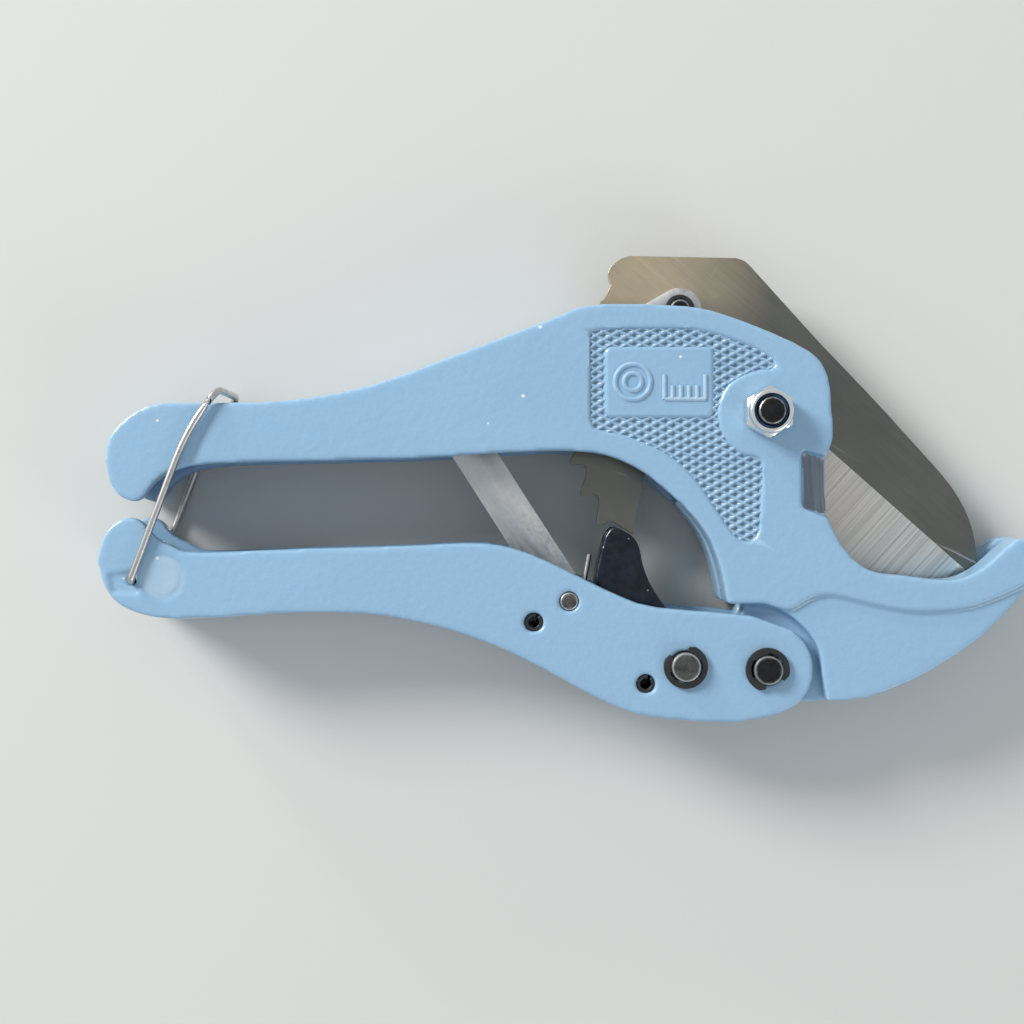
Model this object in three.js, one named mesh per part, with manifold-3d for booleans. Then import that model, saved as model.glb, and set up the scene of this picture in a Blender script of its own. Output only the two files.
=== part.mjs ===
// Ratcheting cutter for plastic pipe, lying on its far side with the blade over the jaw.
// Millimetres. +X runs from the grips to the jaw, +Y from the moving handle to the blade's back,
// +Z along the pivot bolt. The origin is on the blade's pivot, where the bolt head rests.

import * as THREE from 'three';
import { mergeVertices } from 'three/addons/utils/BufferGeometryUtils.js';
import Module from 'manifold-3d';

const wasm = await Module();
wasm.setup();

// ---------- driving sizes ----------

const CASTING_WIDTH = 22;      // both castings, across the tool
const GRIP_REACH = 146;        // blade pivot to the end of the upper grip
const JAW_REACH = 61;          // blade pivot to the end of the hook
const WALL = 3;                // cheeks of the fixed casting and roof of its channel
const HANDLE_WALL = 3.5;       // cheeks of the moving handle
const HANDLE_WEB = 3;          // closed underside of the moving handle

const BLADE_THICKNESS = 2.8;
const LINK_THICKNESS = 2;
const LINK_HALF_WIDTH = 4.6;
const PAWL_WIDTH = 9;          // outside of the folded sheet
const PAWL_SHEET = 1.5;
const PAWL_HUB_RADIUS = 6;
const WASHER_THICKNESS = 0.5;
const WASHER_RADIUS = 8;
const CLIP_THICKNESS = 0.8;

const NECK_STEP_DEPTH = 2.4;
const BOLT_RADIUS = 3;         // M6
const NUT_FLATS = 10;
const NUT_HEIGHT = 6;
const HEX_HEIGHT = 4.3;        // hexagon part of the nut, below its round collar
const BOLT_END = 0.8;          // bolt thread past the nut
const SLEEVE_WALL = 1.2;
const HEAD_HEIGHT = 1.7;       // low heads of the bolt and the two long pins
const HEAD_RADIUS = 5.2;
const LONG_PIN_RADIUS = 3.2;   // handle pin and pawl pin
const PIN_PAST_CLIP = 1.4;
const CROSS_PIN_RADIUS = 2;    // the three pins pressed across the moving handle
const LINK_PIN_RADIUS = 2.2;
const BAIL_WIRE_RADIUS = 0.8;
const SPRING_WIRE_RADIUS = 0.6;

// clearances
const FACE_GAP = 0.3;          // between faces that lie on each other
const PIN_FIT = 0.15;          // pin pressed in a cast hole, on the radius
const RUNNING_FIT = 0.3;       // part that turns or slides on a pin, on the radius
const SIDE_PLAY = 0.5;         // blade in its slot, each side

// swings from closed to fully open, in degrees
const HANDLE_SWING = 44;
const BLADE_SWING = 53;
const LINK_SWING = -49;        // measured from the blade

// ---------- centres ----------

const BLADE_PIVOT = [0, 0];
const HANDLE_PIVOT = [0, -56.6];
const PAWL_PIVOT = [-18, -55.9];
const SLOT_PIN = [-43.6, -41.6];    // carries the pawl spring and runs in the link's slot
const ANCHOR_PIN = [-51.4, -46.2];  // holds the spring's other leg
const STOP_PIN = [-26.7, -59.8];    // stops the pawl's heel
const LINK_PIN = [-18.5, 23.6];     // on the blade
const LINK_ELBOW = [-67.6, -4.3];
const BAIL_HOLE = [-GRIP_REACH + 5.9, -37.1];
const BAIL_SHOULDER = [-GRIP_REACH + 18.6, -3.4];
const BAIL_BAR = [-GRIP_REACH + 25.1, 5];

// ---------- levels across the tool ----------

const FAR_FACE = HEAD_HEIGHT + FACE_GAP;
const NEAR_FACE = FAR_FACE + CASTING_WIDTH;
const MIDDLE = (FAR_FACE + NEAR_FACE) / 2;
const BLADE_LOW = MIDDLE - BLADE_THICKNESS / 2;
const BLADE_HIGH = MIDDLE + BLADE_THICKNESS / 2;
const WASHER_LOW = BLADE_LOW - FACE_GAP - WASHER_THICKNESS;
const WASHER_HIGH = BLADE_HIGH + FACE_GAP + WASHER_THICKNESS;
const LINK_LOW = BLADE_HIGH + 0.4;
const LINK_HIGH = LINK_LOW + LINK_THICKNESS;
const CLIP_LOW = NEAR_FACE + FACE_GAP;
const CLIP_HIGH = CLIP_LOW + CLIP_THICKNESS;
const TONGUE_LOW = FAR_FACE + HANDLE_WALL + FACE_GAP;
const TONGUE_HIGH = NEAR_FACE - HANDLE_WALL - FACE_GAP;
const PAST = 5;                // how far a cutting shape runs past what it cuts

// ---------- ratchet ----------

const TOOTH_COUNT = 8;
const TOOTH_PITCH = 9.9;       // degrees
const FIRST_TOOTH = 144.4;     // degrees, from +X round the blade's pivot
const TOOTH_TIP_RADIUS = 44.7;
const TOOTH_ROOT_RADIUS = 40.9;
const TOOTH_UNDERCUT = 2.1;    // degrees from a tip to the bottom of its pocket
const SWEEP_RADIUS = TOOTH_TIP_RADIUS + 0.7;

const BOSS_RADIUS = WASHER_RADIUS + 0.8;
const HANDLE_END_RADIUS = 10.4;
const RECESS_RADIUS = HANDLE_END_RADIUS + 2;
const TONGUE_RADIUS = 9.5;

// ---------- materials ----------

const finish = (color, roughness, metalness) =>
  new THREE.MeshStandardMaterial({ color, roughness, metalness });
const paint = finish(0x8b9aa8, 0.4, 0.1);
const bladeSteel = finish(0xa9a49c, 0.35, 1);
const linkSteel = finish(0x9a9893, 0.5, 1);
const brightSteel = finish(0xc4c4c2, 0.25, 1);
const blackSteel = finish(0x18191b, 0.4, 0.7);
const nylon = finish(0x1a2230, 0.6, 0);

// ---------- solids ----------

function toSolid(geometry) {
  const plain = geometry.clone();
  plain.deleteAttribute('normal');
  plain.deleteAttribute('uv');
  const merged = mergeVertices(plain, 1e-4);
  const mesh = new wasm.Mesh({
    numProp: 3,
    vertProperties: new Float32Array(merged.attributes.position.array),
    triVerts: new Uint32Array(merged.index.array),
  });
  return new wasm.Manifold(mesh);
}

function toGeometry(solid) {
  const mesh = solid.getMesh();
  const geometry = new THREE.BufferGeometry();
  geometry.setAttribute('position', new THREE.BufferAttribute(mesh.vertProperties, 3));
  geometry.setIndex(new THREE.BufferAttribute(mesh.triVerts, 1));
  geometry.computeVertexNormals();
  return geometry;
}

// a flat plate with the shape's outline, between two levels
function plate(shape, low, high, detail = 2) {
  const options = { depth: high - low, bevelEnabled: false, curveSegments: detail };
  return toSolid(new THREE.ExtrudeGeometry(shape, options).translate(0, 0, low));
}

function disc([x, y], radius, low, high, sides = 28) {
  const geometry = new THREE.CylinderGeometry(radius, radius, high - low, sides);
  return toSolid(geometry.rotateX(Math.PI / 2).translate(x, y, (low + high) / 2));
}

// a round-ended bar between two centres
function bar(from, to, radius, low, high, sides = 24) {
  const run = Math.hypot(to[0] - from[0], to[1] - from[1]);
  const angle = Math.atan2(to[1] - from[1], to[0] - from[0]);
  const box = new THREE.BoxGeometry(run, 2 * radius * Math.cos(Math.PI / sides), high - low);
  box.rotateZ(angle);
  box.translate((from[0] + to[0]) / 2, (from[1] + to[1]) / 2, (low + high) / 2);
  const ends = disc(from, radius, low, high, sides).add(disc(to, radius, low, high, sides));
  return toSolid(box).add(ends);
}

function polygon(points) {
  return new THREE.Shape(points.map(([x, y]) => new THREE.Vector2(x, y)));
}

// a closed outline made of stretches: a smooth curve through each list, straight lines between
function outline(...stretches) {
  const shape = new THREE.Shape();
  shape.moveTo(...stretches[0][0]);
  stretches.forEach((points, index) => {
    if (index > 0) shape.lineTo(...points[0]);
    if (points.length > 1) shape.splineThru(points.slice(1).map(([x, y]) => new THREE.Vector2(x, y)));
  });
  shape.closePath();
  return shape;
}

// the same curve moved sideways, to the right of its direction of travel
function beside(points, distance) {
  const curve = new THREE.SplineCurve(points.map(([x, y]) => new THREE.Vector2(x, y)));
  return Array.from({ length: 2 * points.length }, (_, index) => {
    const along = index / (2 * points.length - 1);
    const place = curve.getPointAt(along);
    const way = curve.getTangentAt(along);
    return [place.x + way.y * distance, place.y - way.x * distance];
  });
}

function polar([x, y], radius, degrees) {
  const angle = THREE.MathUtils.degToRad(degrees);
  return [x + radius * Math.cos(angle), y + radius * Math.sin(angle)];
}

function turned(point, centre, degrees) {
  const moved = new THREE.Vector2(...point).rotateAround(
    new THREE.Vector2(...centre), THREE.MathUtils.degToRad(degrees));
  return [moved.x, moved.y];
}

function part(name, shape, material) {
  const geometry = shape.isBufferGeometry ? shape : toGeometry(shape);
  const mesh = new THREE.Mesh(geometry, material);
  mesh.name = name;
  return mesh;
}

// ---------- fixed casting: upper grip, head, neck and hooked jaw ----------

const GRIP_TOP = [
  [-GRIP_REACH, -10.5], [-GRIP_REACH + 0.7, -5.8], [-GRIP_REACH + 3.5, -2],
  [-GRIP_REACH + 8, 1], [-GRIP_REACH + 13, 2.2], [-GRIP_REACH + 21, 2.3],
  [-GRIP_REACH + 34, 2.4], [-102.9, 3.1], [-94, 4.6], [-84.2, 7.1], [-65, 14.2],
  [-46.5, 21.2], [-42, 23.2], [-36.8, 24],
];
const HEAD_TOP = [
  [-25.4, 24], [-15.2, 23.3], [-8, 21.3], [1.5, 17.6], [8.3, 14.3], [12, 11.3],
  [13.8, 7], [14.3, 1.7], [14.7, -5.2], [13.3, -9.8],
];
const JAW_INSIDE = [
  [13.6, -23.2], [16, -28.3], [19.6, -32.7], [24, -35.2], [31, -36],
  [38, -36.9], [43, -36.5], [47.5, -34.3], [52, -30.4], [55, -27.9],
];
const HOOK_OUTSIDE = [
  [JAW_REACH - 1.5, -27.6], [JAW_REACH, -29.8], [JAW_REACH - 1.2, -35], [56.2, -40.8],
  [50, -47.4], [43.8, -52.3], [37, -56.7], [30, -60.2], [22, -63.1], [13.5, -63.9],
];
const NECK_INSIDE = [
  [-8.8, -42.2], [-10, -35.5], [-12.6, -28], [-17, -22], [-22, -17.3], [-28, -12.6],
  [-35, -9.5], [-42, -8.5], [-51, -8.5], [-63.2, -9.1], [-76.5, -10], [-102.9, -10.7],
  [-GRIP_REACH + 22, -11.3], [-GRIP_REACH + 14, -13.3], [-GRIP_REACH + 10.5, -16],
  [-GRIP_REACH + 8.3, -18.9], [-GRIP_REACH + 6.3, -19.6], [-GRIP_REACH + 3, -18.3],
  [-GRIP_REACH + 0.8, -15],
];
// lower edge of the full-width metal above the handle's round end
const EAR_EDGE = [
  polar(HANDLE_PIVOT, RECESS_RADIUS, -6), polar(HANDLE_PIVOT, RECESS_RADIUS, 22),
  polar(HANDLE_PIVOT, RECESS_RADIUS, 50), polar(HANDLE_PIVOT, RECESS_RADIUS + 0.8, 72),
  polar(HANDLE_PIVOT, RECESS_RADIUS + 2, 92), [-4.4, -42.2],
];

function castingOutline() {
  return outline(GRIP_TOP, HEAD_TOP, JAW_INSIDE, HOOK_OUTSIDE, EAR_EDGE, NECK_INSIDE);
}

// narrow part of the casting that the moving handle's two ears close round
function tongue() {
  const [x, y] = HANDLE_PIVOT;
  const bridge = polygon([
    [x - 4, y + 15], [x + RECESS_RADIUS + 2, y + 15], [x + RECESS_RADIUS + 2, -63.9],
    [x + 3, -64.6], [x, y - TONGUE_RADIUS + 0.6], [x - 8, y + 5],
  ]);
  const round = disc(HANDLE_PIVOT, TONGUE_RADIUS, TONGUE_LOW, TONGUE_HIGH);
  return plate(bridge, TONGUE_LOW, TONGUE_HIGH).add(round);
}

// the hollow of the grip and head: roofed over the grip, open above the blade
function castingHollow() {
  const roof = beside(GRIP_TOP.slice(1), WALL);
  const mouth = [[-SWEEP_RADIUS, 40], [-9.4, 40], [-9.4, -12], [-24, -24], [-24, -40]];
  const end = [[roof[0][0], -40]];
  const channel = plate(polygon([...roof, ...mouth, ...end]), FAR_FACE + WALL, NEAR_FACE - WALL);
  const overTeeth = disc(BLADE_PIVOT, SWEEP_RADIUS, FAR_FACE + WALL, NEAR_FACE - WALL, 48);
  const besideHead = plate(polygon([[-60, 0], [-9.4, 0], [-9.4, 60], [-60, 60]]), 0, NEAR_FACE);
  return channel.add(overTeeth.intersect(besideHead));
}

// lower edge of the slot that the cutting edge sinks into
const SLOT_FLOOR = [
  [12, -44], [20, -42], [28, -41.6], [37, -41.3], [45, -39.6], [51, -36.5], [56, -33.4],
];

function bladeSlot() {
  const low = BLADE_LOW - SIDE_PLAY;
  const high = BLADE_HIGH + SIDE_PLAY;
  const noseRadius = Math.max(...BLADE_NOSE.map(([x, y]) => Math.hypot(x, y))) + SIDE_PLAY;
  const overGrip = plate(polygon([[-60, -8], [-9, -8], [-9, 60], [-60, 60]]), low, high);
  const noseSweep = disc(BLADE_PIVOT, noseRadius, low, high, 60).intersect(overGrip);
  const above = [[JAW_REACH + PAST, -31.5], [JAW_REACH + PAST, 60], [-9, 60], [-9, -30]];
  const jawPart = plate(polygon([...SLOT_FLOOR, ...above]), low, high);
  return disc(BLADE_PIVOT, SWEEP_RADIUS, low, high, 60).add(jawPart).add(noseSweep);
}

// shallow step in both faces of the neck, beside the blade
function neckStep(low, high) {
  return plate(polygon([[7.6, -8.2], [20, -11.6], [20, -25.6], [8, -21]]), low, high);
}

function mainBody() {
  const bosses = disc(BLADE_PIVOT, BOSS_RADIUS, FAR_FACE + 1, WASHER_LOW - FACE_GAP)
    .add(disc(BLADE_PIVOT, BOSS_RADIUS, WASHER_HIGH + FACE_GAP, NEAR_FACE - 1));
  const washerSeats = disc(
    BLADE_PIVOT, WASHER_RADIUS + RUNNING_FIT, WASHER_LOW - FACE_GAP, WASHER_HIGH + FACE_GAP);
  return plate(castingOutline(), FAR_FACE, NEAR_FACE)
    .add(tongue())
    .subtract(castingHollow())
    .subtract(bladeSlot())
    .add(bosses)
    .subtract(washerSeats)
    .subtract(neckStep(NEAR_FACE - NECK_STEP_DEPTH, NEAR_FACE + PAST))
    .subtract(neckStep(FAR_FACE - PAST, FAR_FACE + NECK_STEP_DEPTH))
    .subtract(disc(BLADE_PIVOT, BOLT_RADIUS + RUNNING_FIT, -PAST, NEAR_FACE + PAST))
    .subtract(disc(HANDLE_PIVOT, LONG_PIN_RADIUS + RUNNING_FIT, -PAST, NEAR_FACE + PAST));
}

// ---------- moving handle: a channel open towards the upper grip ----------

const HANDLE_UNDER = [
  [-GRIP_REACH - 0.4, -37.8], [-GRIP_REACH + 2, -41.5], [-GRIP_REACH + 6.5, -44],
  [-GRIP_REACH + 12, -45.3], [-GRIP_REACH + 18, -45.5], [-GRIP_REACH + 30, -44.9],
  [-102.9, -44.1], [-88.8, -44.4], [-80, -45.6], [-70, -47.9], [-60, -51.4], [-50.5, -55.9],
  [-40.3, -61.5], [-33, -65], [-26, -67.1], [-13.3, -68.3], [-6.4, -68.4],
];
const HANDLE_OVER = [
  [-3.1, -44.8], [-10.6, -44.1], [-25.4, -42.8], [-32.9, -40.2], [-40.3, -36.7],
  [-50.5, -31.8], [-58.2, -29.4], [-65.7, -28.7], [-80.9, -29.4], [-102.9, -30],
  [-GRIP_REACH + 20, -30.8], [-GRIP_REACH + 15, -29.4], [-GRIP_REACH + 10.7, -27.2],
  [-GRIP_REACH + 8.4, -24.3], [-GRIP_REACH + 5.5, -23], [-GRIP_REACH + 2, -24.3],
  [-GRIP_REACH - 0.5, -27.6], [-GRIP_REACH - 1.8, -32.7],
];
const HANDLE_ROUND_END = [-78, -45, -10, 25, 55].map(
  (degrees) => polar(HANDLE_PIVOT, HANDLE_END_RADIUS, degrees));
const WEB_END = -12.5;         // the closed underside stops short of the tongue

// hollow of the handle, which leaves its underside and its grip end closed
function handleHollow() {
  const under = beside(HANDLE_UNDER.slice(0, -2), -HANDLE_WEB);
  const last = under[under.length - 1];
  const outside = [
    [WEB_END, last[1] - 0.5], [WEB_END, -80], [20, -80], [20, -20], [under[0][0], -20],
  ];
  return plate(polygon([...under, ...outside]), FAR_FACE + HANDLE_WALL, NEAR_FACE - HANDLE_WALL);
}

function movingHandle() {
  const through = (centre, radius) => disc(centre, radius, -PAST, NEAR_FACE + PAST, 24);
  return plate(outline(HANDLE_UNDER, HANDLE_ROUND_END, HANDLE_OVER), FAR_FACE, NEAR_FACE)
    .subtract(handleHollow())
    .subtract(through(HANDLE_PIVOT, LONG_PIN_RADIUS + PIN_FIT))
    .subtract(through(PAWL_PIVOT, LONG_PIN_RADIUS + PIN_FIT))
    .subtract(through(SLOT_PIN, CROSS_PIN_RADIUS + PIN_FIT))
    .subtract(through(ANCHOR_PIN, CROSS_PIN_RADIUS + PIN_FIT))
    .subtract(through(STOP_PIN, CROSS_PIN_RADIUS + PIN_FIT))
    .subtract(through(BAIL_HOLE, BAIL_WIRE_RADIUS + RUNNING_FIT));
}

// ---------- blade with its ratchet sector ----------

function ratchetTeeth() {
  const points = [];
  for (let tooth = 0; tooth < TOOTH_COUNT; tooth += 1) {
    const angle = FIRST_TOOTH + tooth * TOOTH_PITCH;
    points.push(polar(BLADE_PIVOT, TOOTH_TIP_RADIUS - 0.6, angle - 0.9));
    points.push(polar(BLADE_PIVOT, TOOTH_TIP_RADIUS, angle));
    points.push(polar(BLADE_PIVOT, TOOTH_TIP_RADIUS - 0.5, angle + 0.9));
    points.push(polar(BLADE_PIVOT, TOOTH_ROOT_RADIUS + 0.4, angle + TOOTH_UNDERCUT - 0.6));
    points.push(polar(BLADE_PIVOT, TOOTH_ROOT_RADIUS, angle + TOOTH_UNDERCUT + 0.8));
    if (tooth < TOOTH_COUNT - 1) {
      points.push(polar(BLADE_PIVOT, TOOTH_ROOT_RADIUS + 0.8, angle + 5.4));
    }
  }
  return points;
}

const BLADE_NOSE = [[-29.4, 36.2], [-31.6, 35.5], [-33.6, 33.9], [-34.4, 31.9], [-33.7, 29.6]];
const ARM_INSIDE = [
  [-28.8, -26.9], [-28.3, -24], [-26.9, -17.6], [-26.2, -13.7], [-23, -9.8],
  [-17, -9], [-10.5, -10.5], [-2, -13.6],
];
const CUTTING_EDGE = [
  [6.5, -15.5], [10.5, -24], [15.5, -31], [22, -36], [29.5, -38.6], [37, -39.3],
  [43, -38], [47.5, -35.7],
];
const BLADE_BACK = [
  [49.3, -33.5], [48.7, -28], [46.8, -22], [43.6, -16.4], [39.3, -11.2],
  [33.4, -4.7], [26.8, 2.6], [13.2, 16.9],
];
const BLADE_SHOULDER = [[-2, 33.7], [-3.4, 35], [-5.4, 35.7]];

function bladeOutline() {
  const teeth = ratchetTeeth().map((point) => [point]);
  return outline(BLADE_NOSE, ...teeth, ARM_INSIDE, CUTTING_EDGE, BLADE_BACK, BLADE_SHOULDER);
}

function sleeveRadius() {
  return BOLT_RADIUS + RUNNING_FIT + SLEEVE_WALL;
}

function blade() {
  return plate(bladeOutline(), BLADE_LOW, BLADE_HIGH)
    .subtract(disc(BLADE_PIVOT, sleeveRadius() + RUNNING_FIT, 0, NEAR_FACE))
    .subtract(disc(LINK_PIN, LINK_PIN_RADIUS + PIN_FIT, 0, NEAR_FACE, 24));
}

// ---------- return link: drags the blade open once its slot has run out ----------

// where the slot pin lies in the link, for a share of the full swing
function pinInLink(share) {
  const opened = turned(SLOT_PIN, HANDLE_PIVOT, share * HANDLE_SWING);
  const inBlade = turned(opened, BLADE_PIVOT, -share * BLADE_SWING);
  return turned(inBlade, LINK_PIN, -share * LINK_SWING);
}

const SLOT_STEPS = 4;
const SLOT_PATH = Array.from({ length: SLOT_STEPS + 1 }, (_, step) => pinInLink(step / SLOT_STEPS));

function strip(points, radius, low, high, sides) {
  return points.slice(1)
    .map((point, index) => bar(points[index], point, radius, low, high, sides))
    .reduce((joined, next) => joined.add(next));
}

function returnLink() {
  const slotRadius = CROSS_PIN_RADIUS + RUNNING_FIT;
  return strip([LINK_PIN, LINK_ELBOW], 5, LINK_LOW, LINK_HIGH)
    .add(strip([LINK_ELBOW, ...SLOT_PATH], LINK_HALF_WIDTH, LINK_LOW, LINK_HIGH, 16))
    .subtract(strip(SLOT_PATH, slotRadius, LINK_LOW - 1, LINK_HIGH + 1, 12))
    .subtract(disc(LINK_PIN, LINK_PIN_RADIUS + RUNNING_FIT, 0, NEAR_FACE, 24));
}

// ---------- pawl: folded sheet, closed at its back, astride the ratchet ----------

const PAWL_BACK = [
  [-25.5, -55], [-29, -49.5], [-33.5, -43.6], [-36.6, -40.2], [-37.6, -37.5],
  [-36.8, -32.5], [-35.3, -27],
];
const PAWL_FRONT = [
  [-33.6, -24.9], [-31, -26], [-28.6, -27.7], [-27.4, -30], [-26.4, -34.6], [-24.3, -39.2],
  [-20.5, -44.5], [-14.5, -50.5],
];

function pawl() {
  const low = MIDDLE - PAWL_WIDTH / 2;
  const high = MIDDLE + PAWL_WIDTH / 2;
  const inside = polygon([...beside(PAWL_BACK, PAWL_SHEET), [-30, -15], [0, -20], [0, -70], [-24, -66]]);
  const nosePath = disc(BLADE_PIVOT, SWEEP_RADIUS, BLADE_LOW - SIDE_PLAY, BLADE_HIGH + SIDE_PLAY, 60);
  return plate(outline(PAWL_BACK, PAWL_FRONT), low, high)
    .add(disc(PAWL_PIVOT, PAWL_HUB_RADIUS, low, high))
    .subtract(plate(inside, low + PAWL_SHEET, high - PAWL_SHEET))
    .subtract(nosePath)
    .subtract(disc(PAWL_PIVOT, LONG_PIN_RADIUS + RUNNING_FIT, 0, NEAR_FACE));
}

// ---------- pivot hardware ----------

function pivotBolt() {
  const head = disc(BLADE_PIVOT, HEAD_RADIUS + 0.6, 0, HEAD_HEIGHT, 6);
  const top = CLIP_LOW + NUT_HEIGHT + BOLT_END;
  return head.add(disc(BLADE_PIVOT, BOLT_RADIUS, HEAD_HEIGHT - 0.5, top));
}

function pivotNut() {
  const low = CLIP_LOW;
  const collar = low + HEX_HEIGHT;
  const hexagon = disc(BLADE_PIVOT, NUT_FLATS / 2 / Math.cos(Math.PI / 6), low, collar, 6);
  const rim = disc(BLADE_PIVOT, NUT_FLATS / 2 - 0.3, collar - 0.5, low + NUT_HEIGHT);
  return hexagon.add(rim)
    .subtract(disc(BLADE_PIVOT, BOLT_RADIUS + PIN_FIT, 0, low + NUT_HEIGHT + PAST))
    .subtract(disc(BLADE_PIVOT, BOLT_RADIUS + 1.1, collar, low + NUT_HEIGHT + PAST));
}

function nutInsert() {
  const low = CLIP_LOW + HEX_HEIGHT + PIN_FIT;
  return disc(BLADE_PIVOT, BOLT_RADIUS + 1.1 - PIN_FIT, low, CLIP_LOW + NUT_HEIGHT - 0.4)
    .subtract(disc(BLADE_PIVOT, BOLT_RADIUS + PIN_FIT, 0, low + NUT_HEIGHT));
}

function pivotSleeve() {
  return disc(BLADE_PIVOT, sleeveRadius(), WASHER_LOW, WASHER_HIGH)
    .subtract(disc(BLADE_PIVOT, BOLT_RADIUS + RUNNING_FIT, 0, NEAR_FACE));
}

function bladeWasher(low) {
  return disc(BLADE_PIVOT, WASHER_RADIUS, low, low + WASHER_THICKNESS)
    .subtract(disc(BLADE_PIVOT, sleeveRadius() + RUNNING_FIT, 0, NEAR_FACE));
}

// ---------- pins and their clips ----------

// a headed pin with a groove for its clip
function groovedPin(centre, radius, headRadius, head, clip) {
  const grooveRadius = radius * 0.75;
  const end = clip.high + PIN_PAST_CLIP * radius / LONG_PIN_RADIUS;
  return disc(centre, headRadius, head.low, head.high)
    .add(disc(centre, radius, head.high - 0.5, clip.low - 0.1))
    .add(disc(centre, grooveRadius, clip.low - 0.5, clip.high + 0.5))
    .add(disc(centre, radius, clip.high + 0.1, end));
}

// an open spring clip that sits in the pin's groove; its mouth faces the given way
function clip(centre, radius, low, high, mouthDegrees) {
  const inner = radius * 0.75 + PIN_FIT;
  const outer = radius * 1.53;
  const mouth = bar(centre, polar(centre, 2 * outer, mouthDegrees), inner * 0.86, low - 1, high + 1);
  return disc(centre, outer, low, high)
    .subtract(disc(centre, inner, low - 1, high + 1))
    .subtract(mouth);
}

const LONG_HEAD = { low: 0, high: HEAD_HEIGHT };
const LONG_CLIP = { low: CLIP_LOW, high: CLIP_HIGH };
const LINK_HEAD = { low: BLADE_LOW - FACE_GAP - 1.3, high: BLADE_LOW - FACE_GAP };
const LINK_CLIP = { low: LINK_HIGH + FACE_GAP, high: LINK_HIGH + FACE_GAP + 0.7 };

function longPin(centre) {
  return groovedPin(centre, LONG_PIN_RADIUS, HEAD_RADIUS, LONG_HEAD, LONG_CLIP);
}

function longClip(centre, mouthDegrees) {
  return clip(centre, LONG_PIN_RADIUS, LONG_CLIP.low, LONG_CLIP.high, mouthDegrees);
}

function linkPin() {
  return groovedPin(LINK_PIN, LINK_PIN_RADIUS, LINK_PIN_RADIUS + 1.4, LINK_HEAD, LINK_CLIP);
}

function crossPin(centre, inset) {
  return disc(centre, CROSS_PIN_RADIUS, FAR_FACE + inset, NEAR_FACE - inset, 24);
}

// a rolled spring pin: a tube with a narrow slit along it
function rolledPin(centre, inset) {
  const slit = bar(centre, polar(centre, 3 * CROSS_PIN_RADIUS, 60), 0.35, 0, NEAR_FACE + PAST, 8);
  return crossPin(centre, inset)
    .subtract(disc(centre, CROSS_PIN_RADIUS * 0.6, 0, NEAR_FACE + PAST, 24))
    .subtract(slit);
}

// ---------- wire pieces ----------

function wire(path, radius, steps, sides) {
  const section = new THREE.Shape();
  section.absarc(0, 0, radius, 0, 2 * Math.PI);
  const options = { steps, extrudePath: path, bevelEnabled: false, curveSegments: sides / 2 };
  return toSolid(new THREE.ExtrudeGeometry(section, options));
}

// a line through the corners, each corner rounded by the bend radius
function bentLine(corners, bend) {
  const path = [];
  let last = corners[0];
  for (let index = 1; index < corners.length - 1; index += 1) {
    const corner = corners[index];
    const before = corner.clone().add(last.clone().sub(corner).setLength(bend));
    const after = corner.clone().add(corners[index + 1].clone().sub(corner).setLength(bend));
    const curve = new THREE.QuadraticBezierCurve3(before, corner, after);
    path.push(last.clone(), ...curve.getPoints(4));
    last = after;
  }
  path.push(corners[corners.length - 1]);
  return path.filter((point, index) => index === 0 || point.distanceTo(path[index - 1]) > 0.01);
}

// a curve that keeps straight runs straight
function polyline(points) {
  const path = new THREE.CurvePath();
  points.slice(1).forEach((point, index) => path.add(new THREE.LineCurve3(points[index], point)));
  return path;
}

function latchBail() {
  const out = BAIL_WIRE_RADIUS + FACE_GAP;
  const levels = [FAR_FACE - out, NEAR_FACE + out];
  const inHole = [FAR_FACE + HANDLE_WALL - 0.4, NEAR_FACE - HANDLE_WALL + 0.4];
  const at = ([x, y], z) => new THREE.Vector3(x, y, z);
  const corners = [
    at(BAIL_HOLE, inHole[0]), at(BAIL_HOLE, levels[0]), at(BAIL_SHOULDER, levels[0]),
    at(BAIL_BAR, levels[0]), at(BAIL_BAR, levels[1]), at(BAIL_SHOULDER, levels[1]),
    at(BAIL_HOLE, levels[1]), at(BAIL_HOLE, inHole[1]),
  ];
  return wire(polyline(bentLine(corners, out)), BAIL_WIRE_RADIUS, 56, 6);
}

// torsion spring on the slot pin: one leg up the pawl's back, the other on the anchor pin
function pawlSpring() {
  const coilRadius = CROSS_PIN_RADIUS + RUNNING_FIT + SPRING_WIRE_RADIUS + 0.2;
  const turns = 3;
  const pitch = 2 * SPRING_WIRE_RADIUS + 0.25;
  const top = LINK_LOW - SPRING_WIRE_RADIUS - 0.9;
  const startAngle = 15;
  const endAngle = startAngle + 360 * turns + 130;
  const points = [
    new THREE.Vector3(-38.6, -31.5, MIDDLE),
    new THREE.Vector3(-39.2, -34.5, MIDDLE),
    new THREE.Vector3(-39.9, -38, top + 0.1),
  ];
  const perTurn = 12;
  const count = Math.round((endAngle - startAngle) / 360 * perTurn);
  for (let step = 0; step <= count; step += 1) {
    const angle = startAngle - (endAngle - startAngle) * step / count;
    const [x, y] = polar(SLOT_PIN, coilRadius, angle);
    points.push(new THREE.Vector3(x, y, top - pitch * (startAngle - angle) / 360));
  }
  const last = points[points.length - 1];
  const clearOfPin = CROSS_PIN_RADIUS + SPRING_WIRE_RADIUS + 0.3;
  points.push(new THREE.Vector3(ANCHOR_PIN[0] + 1.5, ANCHOR_PIN[1] + clearOfPin, last.z - 0.2));
  points.push(new THREE.Vector3(ANCHOR_PIN[0] - 2, ANCHOR_PIN[1] + clearOfPin, last.z - 0.2));
  return wire(new THREE.CatmullRomCurve3(points, false, 'centripetal'), SPRING_WIRE_RADIUS, 64, 6);
}

// ---------- assembly ----------

const group = new THREE.Group();

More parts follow.
